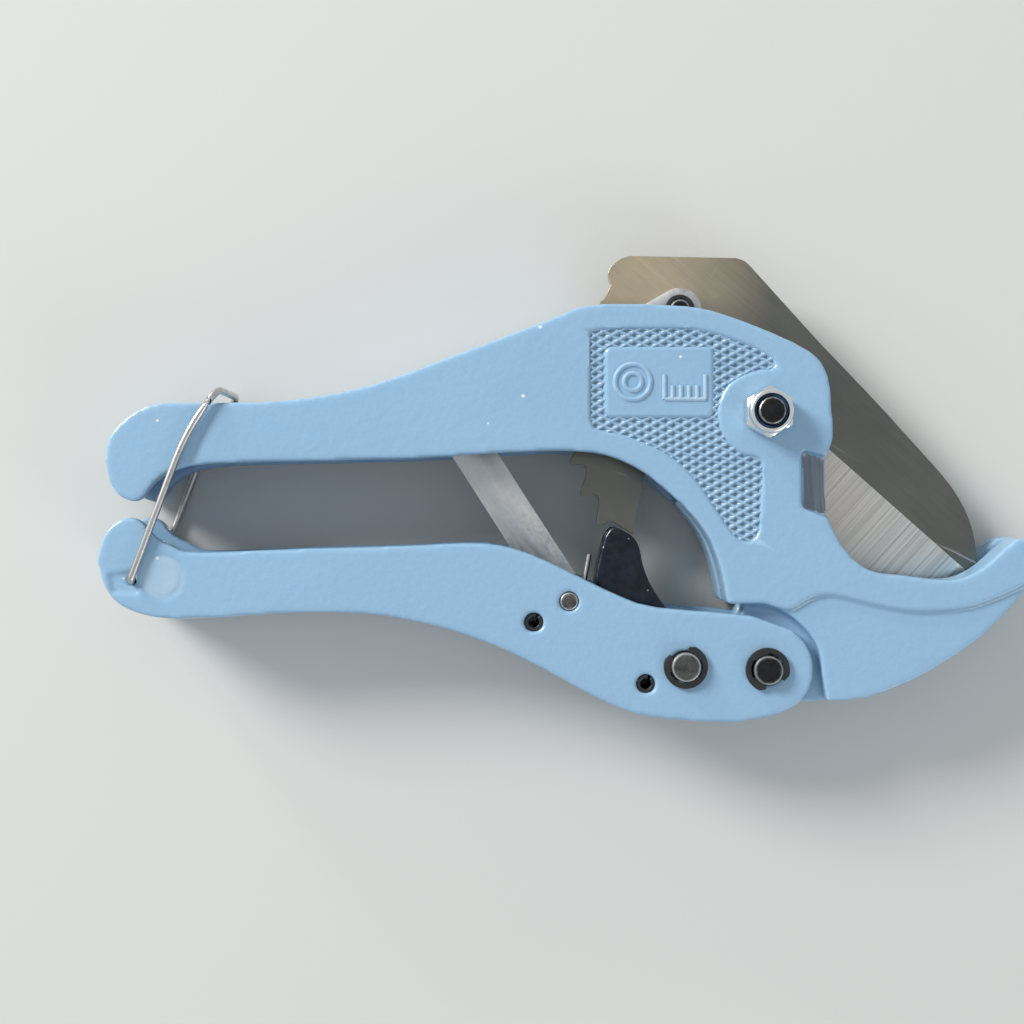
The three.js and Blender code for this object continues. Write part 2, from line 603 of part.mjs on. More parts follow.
const fixedPieces = new THREE.Group();
fixedPieces.add(
  part('main_body', mainBody(), paint),
  part('pivot_bolt', pivotBolt(), blackSteel),
  part('pivot_nut', pivotNut(), brightSteel),
  part('nut_insert', nutInsert(), nylon),
  part('pivot_sleeve', pivotSleeve(), brightSteel),
  part('blade_washer_far', bladeWasher(WASHER_LOW), brightSteel),
  part('blade_washer_near', bladeWasher(WASHER_HIGH - WASHER_THICKNESS), brightSteel),
);

const bladePieces = new THREE.Group();
bladePieces.add(
  part('blade', blade(), bladeSteel),
  part('link_pin', linkPin(), blackSteel),
  part('link_pin_clip', clip(LINK_PIN, LINK_PIN_RADIUS, LINK_CLIP.low, LINK_CLIP.high, 210), blackSteel),
);

const handlePieces = new THREE.Group();
handlePieces.add(
  part('moving_handle', movingHandle(), paint),
  part('handle_pin', longPin(HANDLE_PIVOT), blackSteel),
  part('handle_pin_clip', longClip(HANDLE_PIVOT, -65), blackSteel),
  part('pawl_pin', longPin(PAWL_PIVOT), blackSteel),
  part('pawl_pin_clip', longClip(PAWL_PIVOT, 112), blackSteel),
  part('slot_pin', crossPin(SLOT_PIN, 0.2), brightSteel),
  part('spring_anchor_pin', rolledPin(ANCHOR_PIN, 0.7), blackSteel),
  part('pawl_stop_pin', rolledPin(STOP_PIN, 0.7), blackSteel),
  part('pawl_spring', pawlSpring(), brightSteel),
);

group.add(
  fixedPieces,
  bladePieces,
  handlePieces,
  part('return_link', returnLink(), linkSteel),
  part('pawl', pawl(), blackSteel),
  part('latch_bail', latchBail(), brightSteel),
);

export default group;
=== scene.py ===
"""The looks of a ratcheting plastic-pipe cutter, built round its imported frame.

Shapes are made in millimetres in the frame's own axes and scaled to metres as each piece is finished.
"""
import math

import bmesh
import bpy
import numpy as np
from mathutils import Matrix, Vector, geometry


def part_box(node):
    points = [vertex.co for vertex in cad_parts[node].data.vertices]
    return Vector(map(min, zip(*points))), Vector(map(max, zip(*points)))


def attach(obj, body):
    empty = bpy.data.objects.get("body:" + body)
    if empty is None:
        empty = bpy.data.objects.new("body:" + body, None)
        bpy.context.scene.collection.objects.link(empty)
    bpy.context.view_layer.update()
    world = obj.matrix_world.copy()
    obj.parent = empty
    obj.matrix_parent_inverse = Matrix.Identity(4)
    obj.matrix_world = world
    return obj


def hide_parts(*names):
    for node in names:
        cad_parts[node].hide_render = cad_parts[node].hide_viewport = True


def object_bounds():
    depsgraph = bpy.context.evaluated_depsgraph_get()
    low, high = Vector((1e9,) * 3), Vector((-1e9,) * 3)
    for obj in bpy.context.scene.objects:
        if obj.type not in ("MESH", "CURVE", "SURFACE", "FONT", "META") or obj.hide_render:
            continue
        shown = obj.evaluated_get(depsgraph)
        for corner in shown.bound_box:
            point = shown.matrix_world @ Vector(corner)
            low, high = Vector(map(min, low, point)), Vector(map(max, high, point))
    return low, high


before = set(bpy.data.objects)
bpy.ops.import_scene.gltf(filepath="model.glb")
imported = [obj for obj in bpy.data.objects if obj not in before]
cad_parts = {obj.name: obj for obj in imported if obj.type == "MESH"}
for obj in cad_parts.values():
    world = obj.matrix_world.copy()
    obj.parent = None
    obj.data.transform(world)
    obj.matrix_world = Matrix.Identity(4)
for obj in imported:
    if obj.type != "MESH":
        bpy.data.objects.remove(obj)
cad_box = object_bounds()

MM = 0.001

# ---------- sizes and places read from the frame, in millimetres ----------


def span(node):
    """Lowest and highest corner of a CAD node, in millimetres."""
    low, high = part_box(node)
    return low / MM, high / MM


def middle(node):
    """Centre of a CAD node seen along the pins, in millimetres."""
    low, high = span(node)
    return (low.x + high.x) / 2, (low.y + high.y) / 2


FAR_FACE = span("main_body")[0].z
NEAR_FACE = span("main_body")[1].z
BLADE_LOW = span("blade")[0].z
BLADE_HIGH = span("blade")[1].z
BLADE_MIDDLE = (BLADE_LOW + BLADE_HIGH) / 2
BLADE_PIVOT = middle("pivot_sleeve")
HANDLE_PIVOT = middle("handle_pin")
PAWL_PIVOT = middle("pawl_pin")
LINK_PIN = middle("link_pin")
SLOT_PIN = middle("slot_pin")
ANCHOR_PIN = middle("spring_anchor_pin")
GRIP_END = span("main_body")[0].x
FLOOR_LEVEL = cad_box[0].z

# ---------- sizes of the visible detail, in millimetres ----------

CAST_GRAIN = 0.5                # spacing of the castings' surface points
CAST_ROUNDS = 16                # smoothing rounds, which set the castings' edge radius
CASTING_TRIANGLES = 170000
PANEL_DEPTH = 1.05
PANEL_EDGE = 0.55               # width of the recess's sloping wall
PLAQUE_LOW = (-35.8, -1.1)
PLAQUE_HIGH = (-11.7, 14.6)
PLAQUE_CORNER = 1.6
RIDGE_SPACING = 1.66            # across one family of parallel ridges
RIDGE_SLOPE = 29.0              # degrees either side of the grip's length
RIDGE_HEIGHT = 0.85
RIDGE_SHARE = 0.46              # half width of a ridge's foot, as a share of the spacing
KNURL_GRAIN = 0.24
LEDGE_DEPTH = 1.0
LEDGE_EDGE = 1.1
PAWL_GRAIN = 0.35
WIRE_RADIUS = 0.8
SPRING_RADIUS = 0.6
BEND = 1.1                      # bend radius of the latch wire
SHOULDER_BEND = 8.0
CROSSING_BEND = 3.4             # where the wire turns over the upper grip
CUTTING_EDGE_HALF = 0.04
MARK_RADIUS = 0.58
MARK_HEIGHT_SHARE = 0.95        # height of a cast mark, as a share of its radius
TICK_RADIUS = 0.5
NUT_BORE = 3.15
LONG_PIN = (3.2, 5.2)           # radius of a pin and of its head
SHORT_PIN = (2.2, 3.6)
PIN_HOLLOW = 0.05               # dish in a pin's end
LATCH_PAD = (-133.5, -36.2)     # centre of the round pad on the lower grip's end
PAD_RADIUS = 4.6

# the recessed panel on both cheeks of the head, as a closed smooth line
PANEL = [
    (-38.9, 16.4), (-37.3, 18.2), (-26, 18.6), (-15.2, 18.2), (-5.1, 15.3), (0.4, 12.6),
    (1.7, 10.9), (0.9, 9.7), (-3.6, 8.9), (-7.9, 6.7), (-10.2, 3.2), (-10.8, -0.8),
    (-9.4, -5.2), (-5.8, -8.9), (-2.1, -9.9), (-1.1, -11.6), (-1.3, -18), (-1.6, -24.8),
    (-2.6, -27.6), (-4.4, -28.4), (-7.2, -27), (-11.3, -21.2), (-15.9, -14.6),
    (-22.1, -9.1), (-30.9, -5.2), (-36.8, -3.8), (-38.7, -1.9), (-38.8, 7),
]
# the step across the hook; the metal below it is thinner
LEDGE = [
    (-8.8, -41.6), (-4.4, -42), (0.2, -42.4), (4.4, -43), (5.9, -42.6), (9.9, -40.4),
    (14.7, -39.8), (22, -41.5), (29.9, -43.1), (35.9, -43.4), (43.8, -42.6), (50, -40.6),
    (56.6, -37.5), (66, -31.5),
]
BELOW_LEDGE = [(70, -90), (-20, -90), (-12, -50)]
TEETH_FROM, TEETH_TO = 141, 218   # degrees round the blade's pivot
TOOTH_STEP = 0.3                # spacing of the points along the teeth
TOOTH_SMOOTHING = 7             # rounds, which set how blunt the teeth are
# the machined step in the neck, beside the blade
NECK_STEP = [(8.1, -8.4), (20, -11.7), (20, -25.3), (8.5, -20.8)]
STEP_DEPTH = 2.4
# the ground face of the blade runs from this straight line down to the cutting edge
GRIND_FROM = (16.4, -8.3)
GRIND_TO = (47.6, -35.9)
GRIND_FADE = (8.0, 12.0)        # hidden inside the head, the ground face runs out here
CUTTING_EDGE = [
    (6.5, -15.5), (10.5, -24), (15.5, -31), (22, -36), (29.5, -38.6), (37, -39.3),
    (43, -38), (47.5, -35.7),
]
BAIL_HOLE = (GRIP_END + 5.9, -37.1)
BAIL_SHOULDER = (GRIP_END + 18.6, -3.4)
BAIL_BAR = (GRIP_END + 25.1, 5.0)

# ---------- mesh helpers ----------


def in_mm(node):
    """A CAD node's shape with its loose corners joined, in millimetres."""
    work = bmesh.new()
    work.from_mesh(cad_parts[node].data)
    work.transform(Matrix.Scale(1 / MM, 4))
    bmesh.ops.remove_doubles(work, verts=work.verts, dist=0.002)
    return work


def to_mesh(work, name="work"):
    mesh = bpy.data.meshes.new(name)
    work.to_mesh(mesh)
    work.free()
    return mesh


def held(data):
    """A working object for a mesh or a curve."""
    holder = bpy.data.objects.new("holder", data)
    bpy.context.scene.collection.objects.link(holder)
    return holder


def let_go(holder):
    """The working object's mesh with its modifiers applied; the object is taken away."""
    seen = holder.evaluated_get(bpy.context.evaluated_depsgraph_get())
    result = bpy.data.meshes.new_from_object(seen)
    bpy.data.objects.remove(holder)
    return result


def shaped(mesh, *steps):
    """The mesh after the given modifiers, each a kind and its settings."""
    holder = held(mesh)
    for kind, settings in steps:
        modifier = holder.modifiers.new(kind.lower(), kind)
        for setting, value in settings.items():
            setattr(modifier, setting, value)
    return let_go(holder)


def corners(mesh):
    """A mesh's points as rows of x, y, z."""
    co = np.empty(len(mesh.vertices) * 3)
    mesh.vertices.foreach_get("co", co)
    return co.reshape(-1, 3)


def put_corners(mesh, co):
    mesh.vertices.foreach_set("co", co.ravel())
    mesh.update()


def mark_edges(mesh, sharpest=1.2):
    """Stores how far each point stands out as "edge" or lies in a hollow as "cavity", 0 to 1."""
    count = len(mesh.vertices)
    co = corners(mesh)
    normals = np.empty(count * 3)
    mesh.vertices.foreach_get("normal", normals)
    normals = normals.reshape(-1, 3)
    ends = np.empty(len(mesh.edges) * 2, np.int32)
    mesh.edges.foreach_get("vertices", ends)
    first, second = ends.reshape(-1, 2).T
    way = co[second] - co[first]
    length2 = np.maximum((way ** 2).sum(1), 1e-8)
    bend = ((normals[second] - normals[first]) * way).sum(1) / length2
    total = np.bincount(first, bend, count) + np.bincount(second, bend, count)
    share = np.bincount(first, minlength=count) + np.bincount(second, minlength=count)
    curve = total / np.maximum(share, 1) / sharpest
    for name, value in (("edge", curve), ("cavity", -curve)):
        attribute = mesh.attributes.new(name, "FLOAT", "POINT")
        attribute.data.foreach_set("value", np.clip(value, 0, 1).astype(np.float32))


def crease_between_finishes(mesh):
    """Keeps the line between two finishes crisp."""
    work = bmesh.new()
    work.from_mesh(mesh)
    for edge in work.edges:
        if len({face.material_index for face in edge.link_faces}) > 1:
            edge.smooth = False
    work.to_mesh(mesh)
    work.free()


def piece(name, mesh, body, materials, nodes=(), crease=35):
    """Puts a shape made in millimetres into the frame as a finished piece."""
    mark_edges(mesh)
    mesh.transform(Matrix.Scale(MM, 4))
    mesh.name = name
    finish = np.empty(len(mesh.polygons), np.int32)
    mesh.polygons.foreach_get("material_index", finish)
    materials = materials if isinstance(materials, list) else [materials]
    mesh.materials.clear()
    for material in materials:
        mesh.materials.append(material)
    finish = np.minimum(finish, len(materials) - 1)
    mesh.polygons.foreach_set("material_index", finish)
    mesh.shade_smooth()
    mesh.set_sharp_from_angle(angle=math.radians(crease))
    if finish.any():
        crease_between_finishes(mesh)
    made = bpy.data.objects.new(name, mesh)
    bpy.context.scene.collection.objects.link(made)
    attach(made, body)
    if nodes:
        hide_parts(*nodes)
    return made


def joined(meshes):
    """Several meshes as one."""
    work = bmesh.new()
    for mesh in meshes:
        work.from_mesh(mesh)
    return to_mesh(work)


def smooth_line(points, closed=False, steps=8):
    """A smooth curve through the points, as closely spaced points."""
    ring = [Vector(p) for p in points]
    count = len(ring)
    made = []
    for index in range(count if closed else count - 1):
        if closed:
            a, b, c, d = (ring[(index + k) % count] for k in (-1, 0, 1, 2))
        else:
            a, b, c, d = (ring[min(max(index + k, 0), count - 1)] for k in (-1, 0, 1, 2))
        for step in range(steps):
            t = step / steps
            made.append(0.5 * (2 * b + (c - a) * t + (2 * a - 5 * b + 4 * c - d) * t ** 2
                               + (3 * b - a - 3 * c + d) * t ** 3))
    if not closed:
        made.append(ring[-1])
    return [tuple(p) for p in made]


def line_distance(xy, points, closed=False):
    """Distance from each row of x, y to a line of points."""
    best = np.full(len(xy), 1e9)
    pairs = list(zip(points, points[1:]))
    if closed:
        pairs.append((points[-1], points[0]))
    for start, end in pairs:
        a = np.array(start[:2])
        run = np.array(end[:2]) - a
        share = np.clip(((xy - a) @ run) / max(run @ run, 1e-9), 0, 1)
        off = xy - a - share[:, None] * run
        best = np.minimum(best, (off ** 2).sum(1))
    return np.sqrt(best)


def inside(xy, points):
    """True for each row of x, y within a closed line."""
    result = np.zeros(len(xy), bool)
    x, y = xy.T
    for (ax, ay), (bx, by) in zip(points, points[1:] + points[:1]):
        if ay == by:
            continue
        crosses = (ay > y) != (by > y)
        result ^= crosses & (x < (bx - ax) * (y - ay) / (by - ay) + ax)
    return result


def depth_in(xy, points):
    """Signed distance to a closed line: above 0 inside it."""
    away = line_distance(xy, points, closed=True)
    return np.where(inside(xy, points), away, -away)


def ease(value, low, high):
    """0 below low, 1 above high and an even slope with soft ends between."""
    t = np.clip((value - low) / (high - low), 0, 1)
    return t * t * (3 - 2 * t)


# ---------- castings ----------


def cast_skin(node, features):
    """A casting's fine surface: the CAD shape with soft edges and its cast-in features."""
    soft = shaped(
        to_mesh(in_mm(node)),
        ("REMESH", {"mode": "VOXEL", "voxel_size": CAST_GRAIN}),
        ("SMOOTH", {"factor": 0.5, "iterations": CAST_ROUNDS}),
    )
    co = corners(soft)
    for level, way in ((NEAR_FACE, 1), (FAR_FACE, -1)):
        for feature, reach in features:
            below = (level - co[:, 2]) * way
            close = below < reach
            drop = feature(co[close][:, :2]) * np.clip(1 - below[close] / reach, 0, 1)
            co[close, 2] -= way * drop
    put_corners(soft, co)
    return thinned(soft, co, features)


def thinned(mesh, co, features):
    """The same surface with fewer points where it is plain; features keep all of theirs."""
    slope = np.zeros(len(co))
    for feature, _ in features:
        around = [feature(co[:, :2] + step) for step in ((1.2, 0), (-1.2, 0), (0, 1.2), (0, -1.2))]
        slope = np.maximum(slope, np.max(around, 0) - np.min(around, 0))
    from_face = np.minimum(NEAR_FACE - co[:, 2], co[:, 2] - FAR_FACE)
    plain = (slope < 0.03) | (from_face > 2.8)
    holder = held(mesh)
    group = holder.vertex_groups.new(name="plain")
    group.add(np.flatnonzero(plain).tolist(), 1.0, "REPLACE")
    modifier = holder.modifiers.new("thin", "DECIMATE")
    modifier.ratio = min(1, CASTING_TRIANGLES / (2 * len(mesh.polygons)))
    modifier.vertex_group = "plain"
    modifier.vertex_group_factor = 10
    return let_go(holder)


def bare_faces(mesh):
    """Marks the machined faces of the neck's step, which carry no paint, as the second finish."""
    count = len(mesh.polygons)
    centres = np.empty(count * 3)
    mesh.polygons.foreach_get("center", centres)
    normals = np.empty(count * 3)
    mesh.polygons.foreach_get("normal", normals)
    centres, normals = centres.reshape(-1, 3), normals.reshape(-1, 3)
    from_face = np.minimum(NEAR_FACE - centres[:, 2], centres[:, 2] - FAR_FACE)
    bare = inside(centres[:, :2], NECK_STEP) & (from_face < STEP_DEPTH + 0.5)
    bare &= (from_face > STEP_DEPTH - 0.6) & (np.abs(normals[:, 2]) > 0.8)
    mesh.polygons.foreach_set("material_index", bare.astype(np.int32))
    return mesh


def plaque_share(xy):
    """1 on the raised plaque of the panel and 0 beside it."""
    centre = (np.array(PLAQUE_LOW) + PLAQUE_HIGH) / 2
    half = (np.array(PLAQUE_HIGH) - PLAQUE_LOW) / 2 - PLAQUE_CORNER
    past = np.abs(xy - centre) - half
    away = np.hypot(*np.maximum(past, 0).T) + np.minimum(past.max(1), 0) - PLAQUE_CORNER
    return 1 - ease(away, -PANEL_EDGE / 2, PANEL_EDGE / 2)


PANEL_LINE = smooth_line(PANEL, closed=True, steps=4)
LEDGE_LINE = smooth_line(LEDGE, steps=4) + BELOW_LEDGE


def panel_feature(xy):
    sunk = ease(depth_in(xy, PANEL_LINE), -PANEL_EDGE / 2, PANEL_EDGE / 2)
    return PANEL_DEPTH * sunk * (1 - 0.9 * plaque_share(xy))


def ledge_feature(xy):
    return LEDGE_DEPTH * ease(depth_in(xy, LEDGE_LINE), 0, LEDGE_EDGE)


def groove(start, end, depth, half_width):
    """A shallow round-bottomed valley along a short straight line."""
    def feature(xy):
        return depth * np.exp(-((line_distance(xy, [start, end]) / half_width) ** 2))
    return feature


def grip_end_valley(xy):
    return groove((-123.2, 0.8), (-127.1, -10.7), 0.35, 1.8)(xy)


def handle_end_pocket(xy):
    corner = [(-145.4, -35.4), (-138.8, -34.6), (-138.2, -40.3), (-144.6, -40)]
    return 0.55 * ease(depth_in(xy, corner), -0.3, 0.9)


def pad_rim(xy):
    """A faint ring round the pad where the latch is hung."""
    ring = np.hypot(*(xy - LATCH_PAD).T) - PAD_RADIUS
    return 0.22 * np.exp(-((ring / 0.5) ** 2))


def knurl_blank():
    """A thin slab under the panel's recess, fine enough to carry the ridges."""
    line = np.array(PANEL_LINE)
    low, high = line.min(0) - 1, line.max(0) + 1
    columns = int((high[0] - low[0]) / KNURL_GRAIN)
    rows = int((high[1] - low[1]) / KNURL_GRAIN)
    ix, iy = np.meshgrid(np.arange(columns), np.arange(rows), indexing="ij")
    centre = np.stack([low[0] + (ix.ravel() + 0.5) * KNURL_GRAIN,
                       low[1] + (iy.ravel() + 0.5) * KNURL_GRAIN], 1)
    keep = (depth_in(centre, PANEL_LINE) > -0.35) & (plaque_share(centre) < 0.98)
    cells = set(zip(ix.ravel()[keep].tolist(), iy.ravel()[keep].tolist()))
    floor = NEAR_FACE - PANEL_DEPTH - 0.03
    work = bmesh.new()
    grid = {}

    def point(column, row, top):
        key = (column, row, top)
        if key not in grid:
            x = low[0] + column * KNURL_GRAIN
            y = low[1] + row * KNURL_GRAIN
            grid[key] = work.verts.new((x, y, floor if top else floor - 0.25))
        return grid[key]

    for column, row in sorted(cells):
        ring = [(column, row), (column + 1, row), (column + 1, row + 1), (column, row + 1)]
        work.faces.new([point(*place, True) for place in ring])
        work.faces.new([point(*place, False) for place in reversed(ring)])
        beyond = [(column, row - 1), (column + 1, row), (column, row + 1), (column - 1, row)]
        for side, next_cell in enumerate(beyond):
            if next_cell in cells:
                continue
            a, b = ring[side], ring[(side + 1) % 4]
            work.faces.new([point(*b, True), point(*a, True), point(*a, False), point(*b, False)])
    return to_mesh(work)


def node(tree, kind, inputs=None, **settings):
    """Adds a node, sets its settings, and sets or links its inputs."""
    made = tree.nodes.new(kind)
    for setting, value in settings.items():
        setattr(made, setting, value)
    for key, value in (inputs or {}).items():
        if isinstance(value, bpy.types.NodeSocket):
            tree.links.new(value, made.inputs[key])
        else:
            made.inputs[key].default_value = value
    return made


def math_node(tree, operation, *values):
    inputs = dict(enumerate(values))
    return node(tree, "ShaderNodeMath", inputs, operation=operation).outputs[0]


def ridge_tree():
    """Geometry nodes that raise two crossing families of ridges on a slab's upper side."""
    tree = bpy.data.node_groups.new("crossed_ridges", "GeometryNodeTree")
    socket = tree.interface.new_socket
    socket("Geometry", in_out="INPUT", socket_type="NodeSocketGeometry")
    for name in ("Spacing", "Slope", "Height", "Foot Share"):
        socket(name, in_out="INPUT", socket_type="NodeSocketFloat")
    socket("Material", in_out="INPUT", socket_type="NodeSocketMaterial")
    socket("Geometry", in_out="OUTPUT", socket_type="NodeSocketGeometry")
    given = tree.nodes.new("NodeGroupInput").outputs
    place = node(tree, "ShaderNodeSeparateXYZ", {0: tree.nodes.new("GeometryNodeInputPosition").outputs[0]})
    upward = node(tree, "ShaderNodeSeparateXYZ", {0: tree.nodes.new("GeometryNodeInputNormal").outputs[0]})
    sine = math_node(tree, "SINE", given["Slope"])
    cosine = math_node(tree, "COSINE", given["Slope"])
    along = math_node(tree, "MULTIPLY", place.outputs["X"], sine)
    across = math_node(tree, "MULTIPLY", place.outputs["Y"], cosine)
    heights = []
    for family in ("ADD", "SUBTRACT"):
        turns = math_node(tree, "DIVIDE", math_node(tree, family, across, along), given["Spacing"])
        away = math_node(tree, "PINGPONG", turns, 0.5)
        lean = math_node(tree, "DIVIDE", away, given["Foot Share"])
        rise = math_node(tree, "SUBTRACT", 1.0, lean)
        heights.append(math_node(tree, "MAXIMUM", rise, 0.0))
    ridge = math_node(tree, "POWER", math_node(tree, "MAXIMUM", *heights), 1.25)
    lift = node(tree, "ShaderNodeCombineXYZ",
                {"Z": math_node(tree, "MULTIPLY", ridge, given["Height"])})
    faces_up = math_node(tree, "GREATER_THAN", upward.outputs["Z"], 0.35)
    moved = node(tree, "GeometryNodeSetPosition",
                 {"Geometry": given["Geometry"], "Selection": faces_up, "Offset": lift.outputs[0]})
    real = node(tree, "GeometryNodeRealizeInstances", {0: moved.outputs[0]})
    painted = node(tree, "GeometryNodeSetMaterial",
                   {"Geometry": real.outputs[0], "Material": given["Material"]})
    node(tree, "NodeGroupOutput", {"Geometry": painted.outputs[0]})
    return tree


def with_tree(mesh, tree, values):
    """The mesh after a geometry-node tree with the named input values."""
    holder = held(mesh)
    modifier = holder.modifiers.new("nodes", "NODES")
    modifier.node_group = tree
    for item in tree.interface.items_tree:
        if item.item_type == "SOCKET" and item.in_out == "INPUT" and item.name in values:
            modifier[item.identifier] = values[item.name]
    return let_go(holder)


def on_both_faces(mesh):
    """A near-face shape and its mirror image on the far face, as one mesh."""
    far = mesh.copy()
    co = corners(far)
    co[:, 2] = NEAR_FACE + FAR_FACE - co[:, 2]
    put_corners(far, co)
    far.flip_normals()
    return joined([mesh, far])


def stroke(points, radius=MARK_RADIUS, closed=False):
    """A raised, round-backed cast mark along a line of points on the plaque."""
    curve = bpy.data.curves.new("mark", "CURVE")
    curve.dimensions = "3D"
    curve.bevel_depth = radius
    curve.bevel_resolution = 2
    curve.use_fill_caps = not closed
    spline = curve.splines.new("POLY")
    spline.points.add(len(points) - 1)
    for target, (x, y) in zip(spline.points, points):
        target.co = (x, y, 0, 1)
    spline.use_cyclic_u = closed
    flattened = Matrix.Diagonal((1, 1, MARK_HEIGHT_SHARE, 1))
    return curve_mesh(curve, Matrix.Translation((0, 0, plaque_level())) @ flattened)


def plaque_level():
    return NEAR_FACE - 0.1 * PANEL_DEPTH - 0.05


def curve_mesh(curve, place=None):
    """A curve as a closed mesh in its final place."""
    work = bmesh.new()
    work.from_mesh(let_go(held(curve)))
    bmesh.ops.remove_doubles(work, verts=work.verts, dist=0.002)
    if place is not None:
        work.transform(place)
    bmesh.ops.recalc_face_normals(work, faces=work.faces)
    return to_mesh(work)


def circle(centre, radius, count=40):
    return [(centre[0] + radius * math.cos(2 * math.pi * k / count),
             centre[1] + radius * math.sin(2 * math.pi * k / count)) for k in range(count)]


def plaque_marks():
    """A plain pipe-section sign and a tick scale, cast on the plaque."""
    sign = (-29.6, 6.8)
    marks = [stroke(circle(sign, 3.9), closed=True), stroke(circle(sign, 1.9, 28), closed=True)]
    scale_left, scale_right, scale_level = -22.6, -13.6, 3.0
    ticks = 6
    gap = (scale_right - scale_left) / (ticks - 1)
    marks.append(stroke([(scale_left, scale_level), (scale_right, scale_level)], TICK_RADIUS))
    for tick in range(ticks):
        x = scale_left + tick * gap
        height = 5.4 if tick % 5 == 0 else 3.0
        marks.append(stroke([(x, scale_level), (x, scale_level + height)], TICK_RADIUS))
    return joined(marks)


# ---------- blade ----------


def face_rings(work, level):
    """Outlines of a flat plate's face at a level, longest first, as lists of x, y."""
    def flat_top(face):
        return abs(face.normal.z) > 0.99 and abs(face.calc_center_median().z - level) < 0.01
    following = {}
    for edge in work.edges:
        if sum(flat_top(face) for face in edge.link_faces) == 1:
            a, b = edge.verts
            following.setdefault(a, []).append(b)
            following.setdefault(b, []).append(a)
    rings = []
    while following:
        start = next(iter(following))
        ring, before, here = [start], None, start
        while True:
            ways = [v for v in following[here] if v is not before]
            before, here = here, ways[0]
            if here is start:
                break
            ring.append(here)
        for vertex in ring:
            del following[vertex]
        rings.append([(v.co.x, v.co.y) for v in ring])
    return sorted(rings, key=len, reverse=True)


def round_teeth(ring):
    """The blade's outline with its ratchet teeth as smooth curves, as they are punched."""
    def in_teeth(point):
        angle = math.degrees(math.atan2(point[1], point[0])) % 360
        return 38 < math.hypot(*point) < 47 and TEETH_FROM < angle < TEETH_TO
    fine = []
    for index, point in enumerate(ring):
        after = ring[(index + 1) % len(ring)]
        steps = 1
        if in_teeth(point) and in_teeth(after):
            steps = max(1, round(math.dist(point, after) / TOOTH_STEP))
        fine += [tuple(p + (q - p) * k / steps for p, q in zip(point, after)) for k in range(steps)]
    line = np.array(fine)
    free = np.array([in_teeth(point) for point in fine])
    free &= np.roll(free, 1) & np.roll(free, -1)
    for _ in range(TOOTH_SMOOTHING):
        between = (np.roll(line, 1, axis=0) + np.roll(line, -1, axis=0)) / 2
        line[free] += 0.5 * (between - line)[free]
    return [tuple(point) for point in line.tolist()]


def side_of_grind(xy):
    """Distance past the grind line, above 0 on the ground side."""
    a = np.array(GRIND_FROM)
    run = np.array(GRIND_TO) - a
    run /= np.hypot(*run)
    return (xy - a) @ np.array([run[1], -run[0]])


def blade_half(xy):
    """Half the blade's thickness at each place."""
    full = (BLADE_HIGH - BLADE_LOW) / 2
    past = side_of_grind(xy)
    to_edge = line_distance(xy, smooth_line(CUTTING_EDGE, steps=4))
    share = np.clip(to_edge / np.maximum(to_edge + np.maximum(past, 0), 1e-6), 0, 1)
    ground = CUTTING_EDGE_HALF + (full - CUTTING_EDGE_HALF) * share
    faded = full + (ground - full) * ease(xy[:, 0], *GRIND_FADE)
    return np.where(past > 0, faded, full)


def is_ground(xy):
    return (side_of_grind(xy) > 0.01) & (xy[:, 0] > GRIND_FADE[0])


def blade_plate():
    """The blade with its ground face, as one closed mesh with two materials."""
    work = in_mm("blade")
    work.normal_update()
    rings = face_rings(work, BLADE_HIGH)
    work.free()
    rings[0] = round_teeth(rings[0])
    run = np.array(GRIND_TO) - GRIND_FROM
    grind = [tuple(np.array(GRIND_FROM) + run * s) for s in np.linspace(-0.3, 1, 40)]
    xs, ys = np.meshgrid(np.arange(4, 50, 1.1), np.arange(-41, 2, 1.1))
    inner = np.stack([xs.ravel(), ys.ravel()], 1)
    close = np.abs(side_of_grind(inner)) < 0.4
    rim = np.full(len(inner), 1e9)
    for ring in rings:
        rim = np.minimum(rim, line_distance(inner, ring, closed=True))
    inner = inner[inside(inner, rings[0]) & ~close & (rim > 0.5) & (side_of_grind(inner) > -2)]
    points = []
    wires = []
    for ring in rings:
        start = len(points)
        points += ring
        wires += [(start + k, start + (k + 1) % len(ring)) for k in range(len(ring))]
    start = len(points)
    points += grind
    wires += [(start + k, start + k + 1) for k in range(len(grind) - 1)]
    points += [tuple(p) for p in inner]
    made = geometry.delaunay_2d_cdt([Vector(p) for p in points], wires, [], 0, 1e-4)
    flat = np.array([tuple(p) for p in made[0]])
    faces = made[2]
    centres = np.array([flat[list(f)].mean(0) for f in faces])
    keep = inside(centres, rings[0])
    for hole in rings[1:]:
        keep &= ~inside(centres, hole)
    return two_sided(flat, [f for f, kept in zip(faces, keep) if kept])


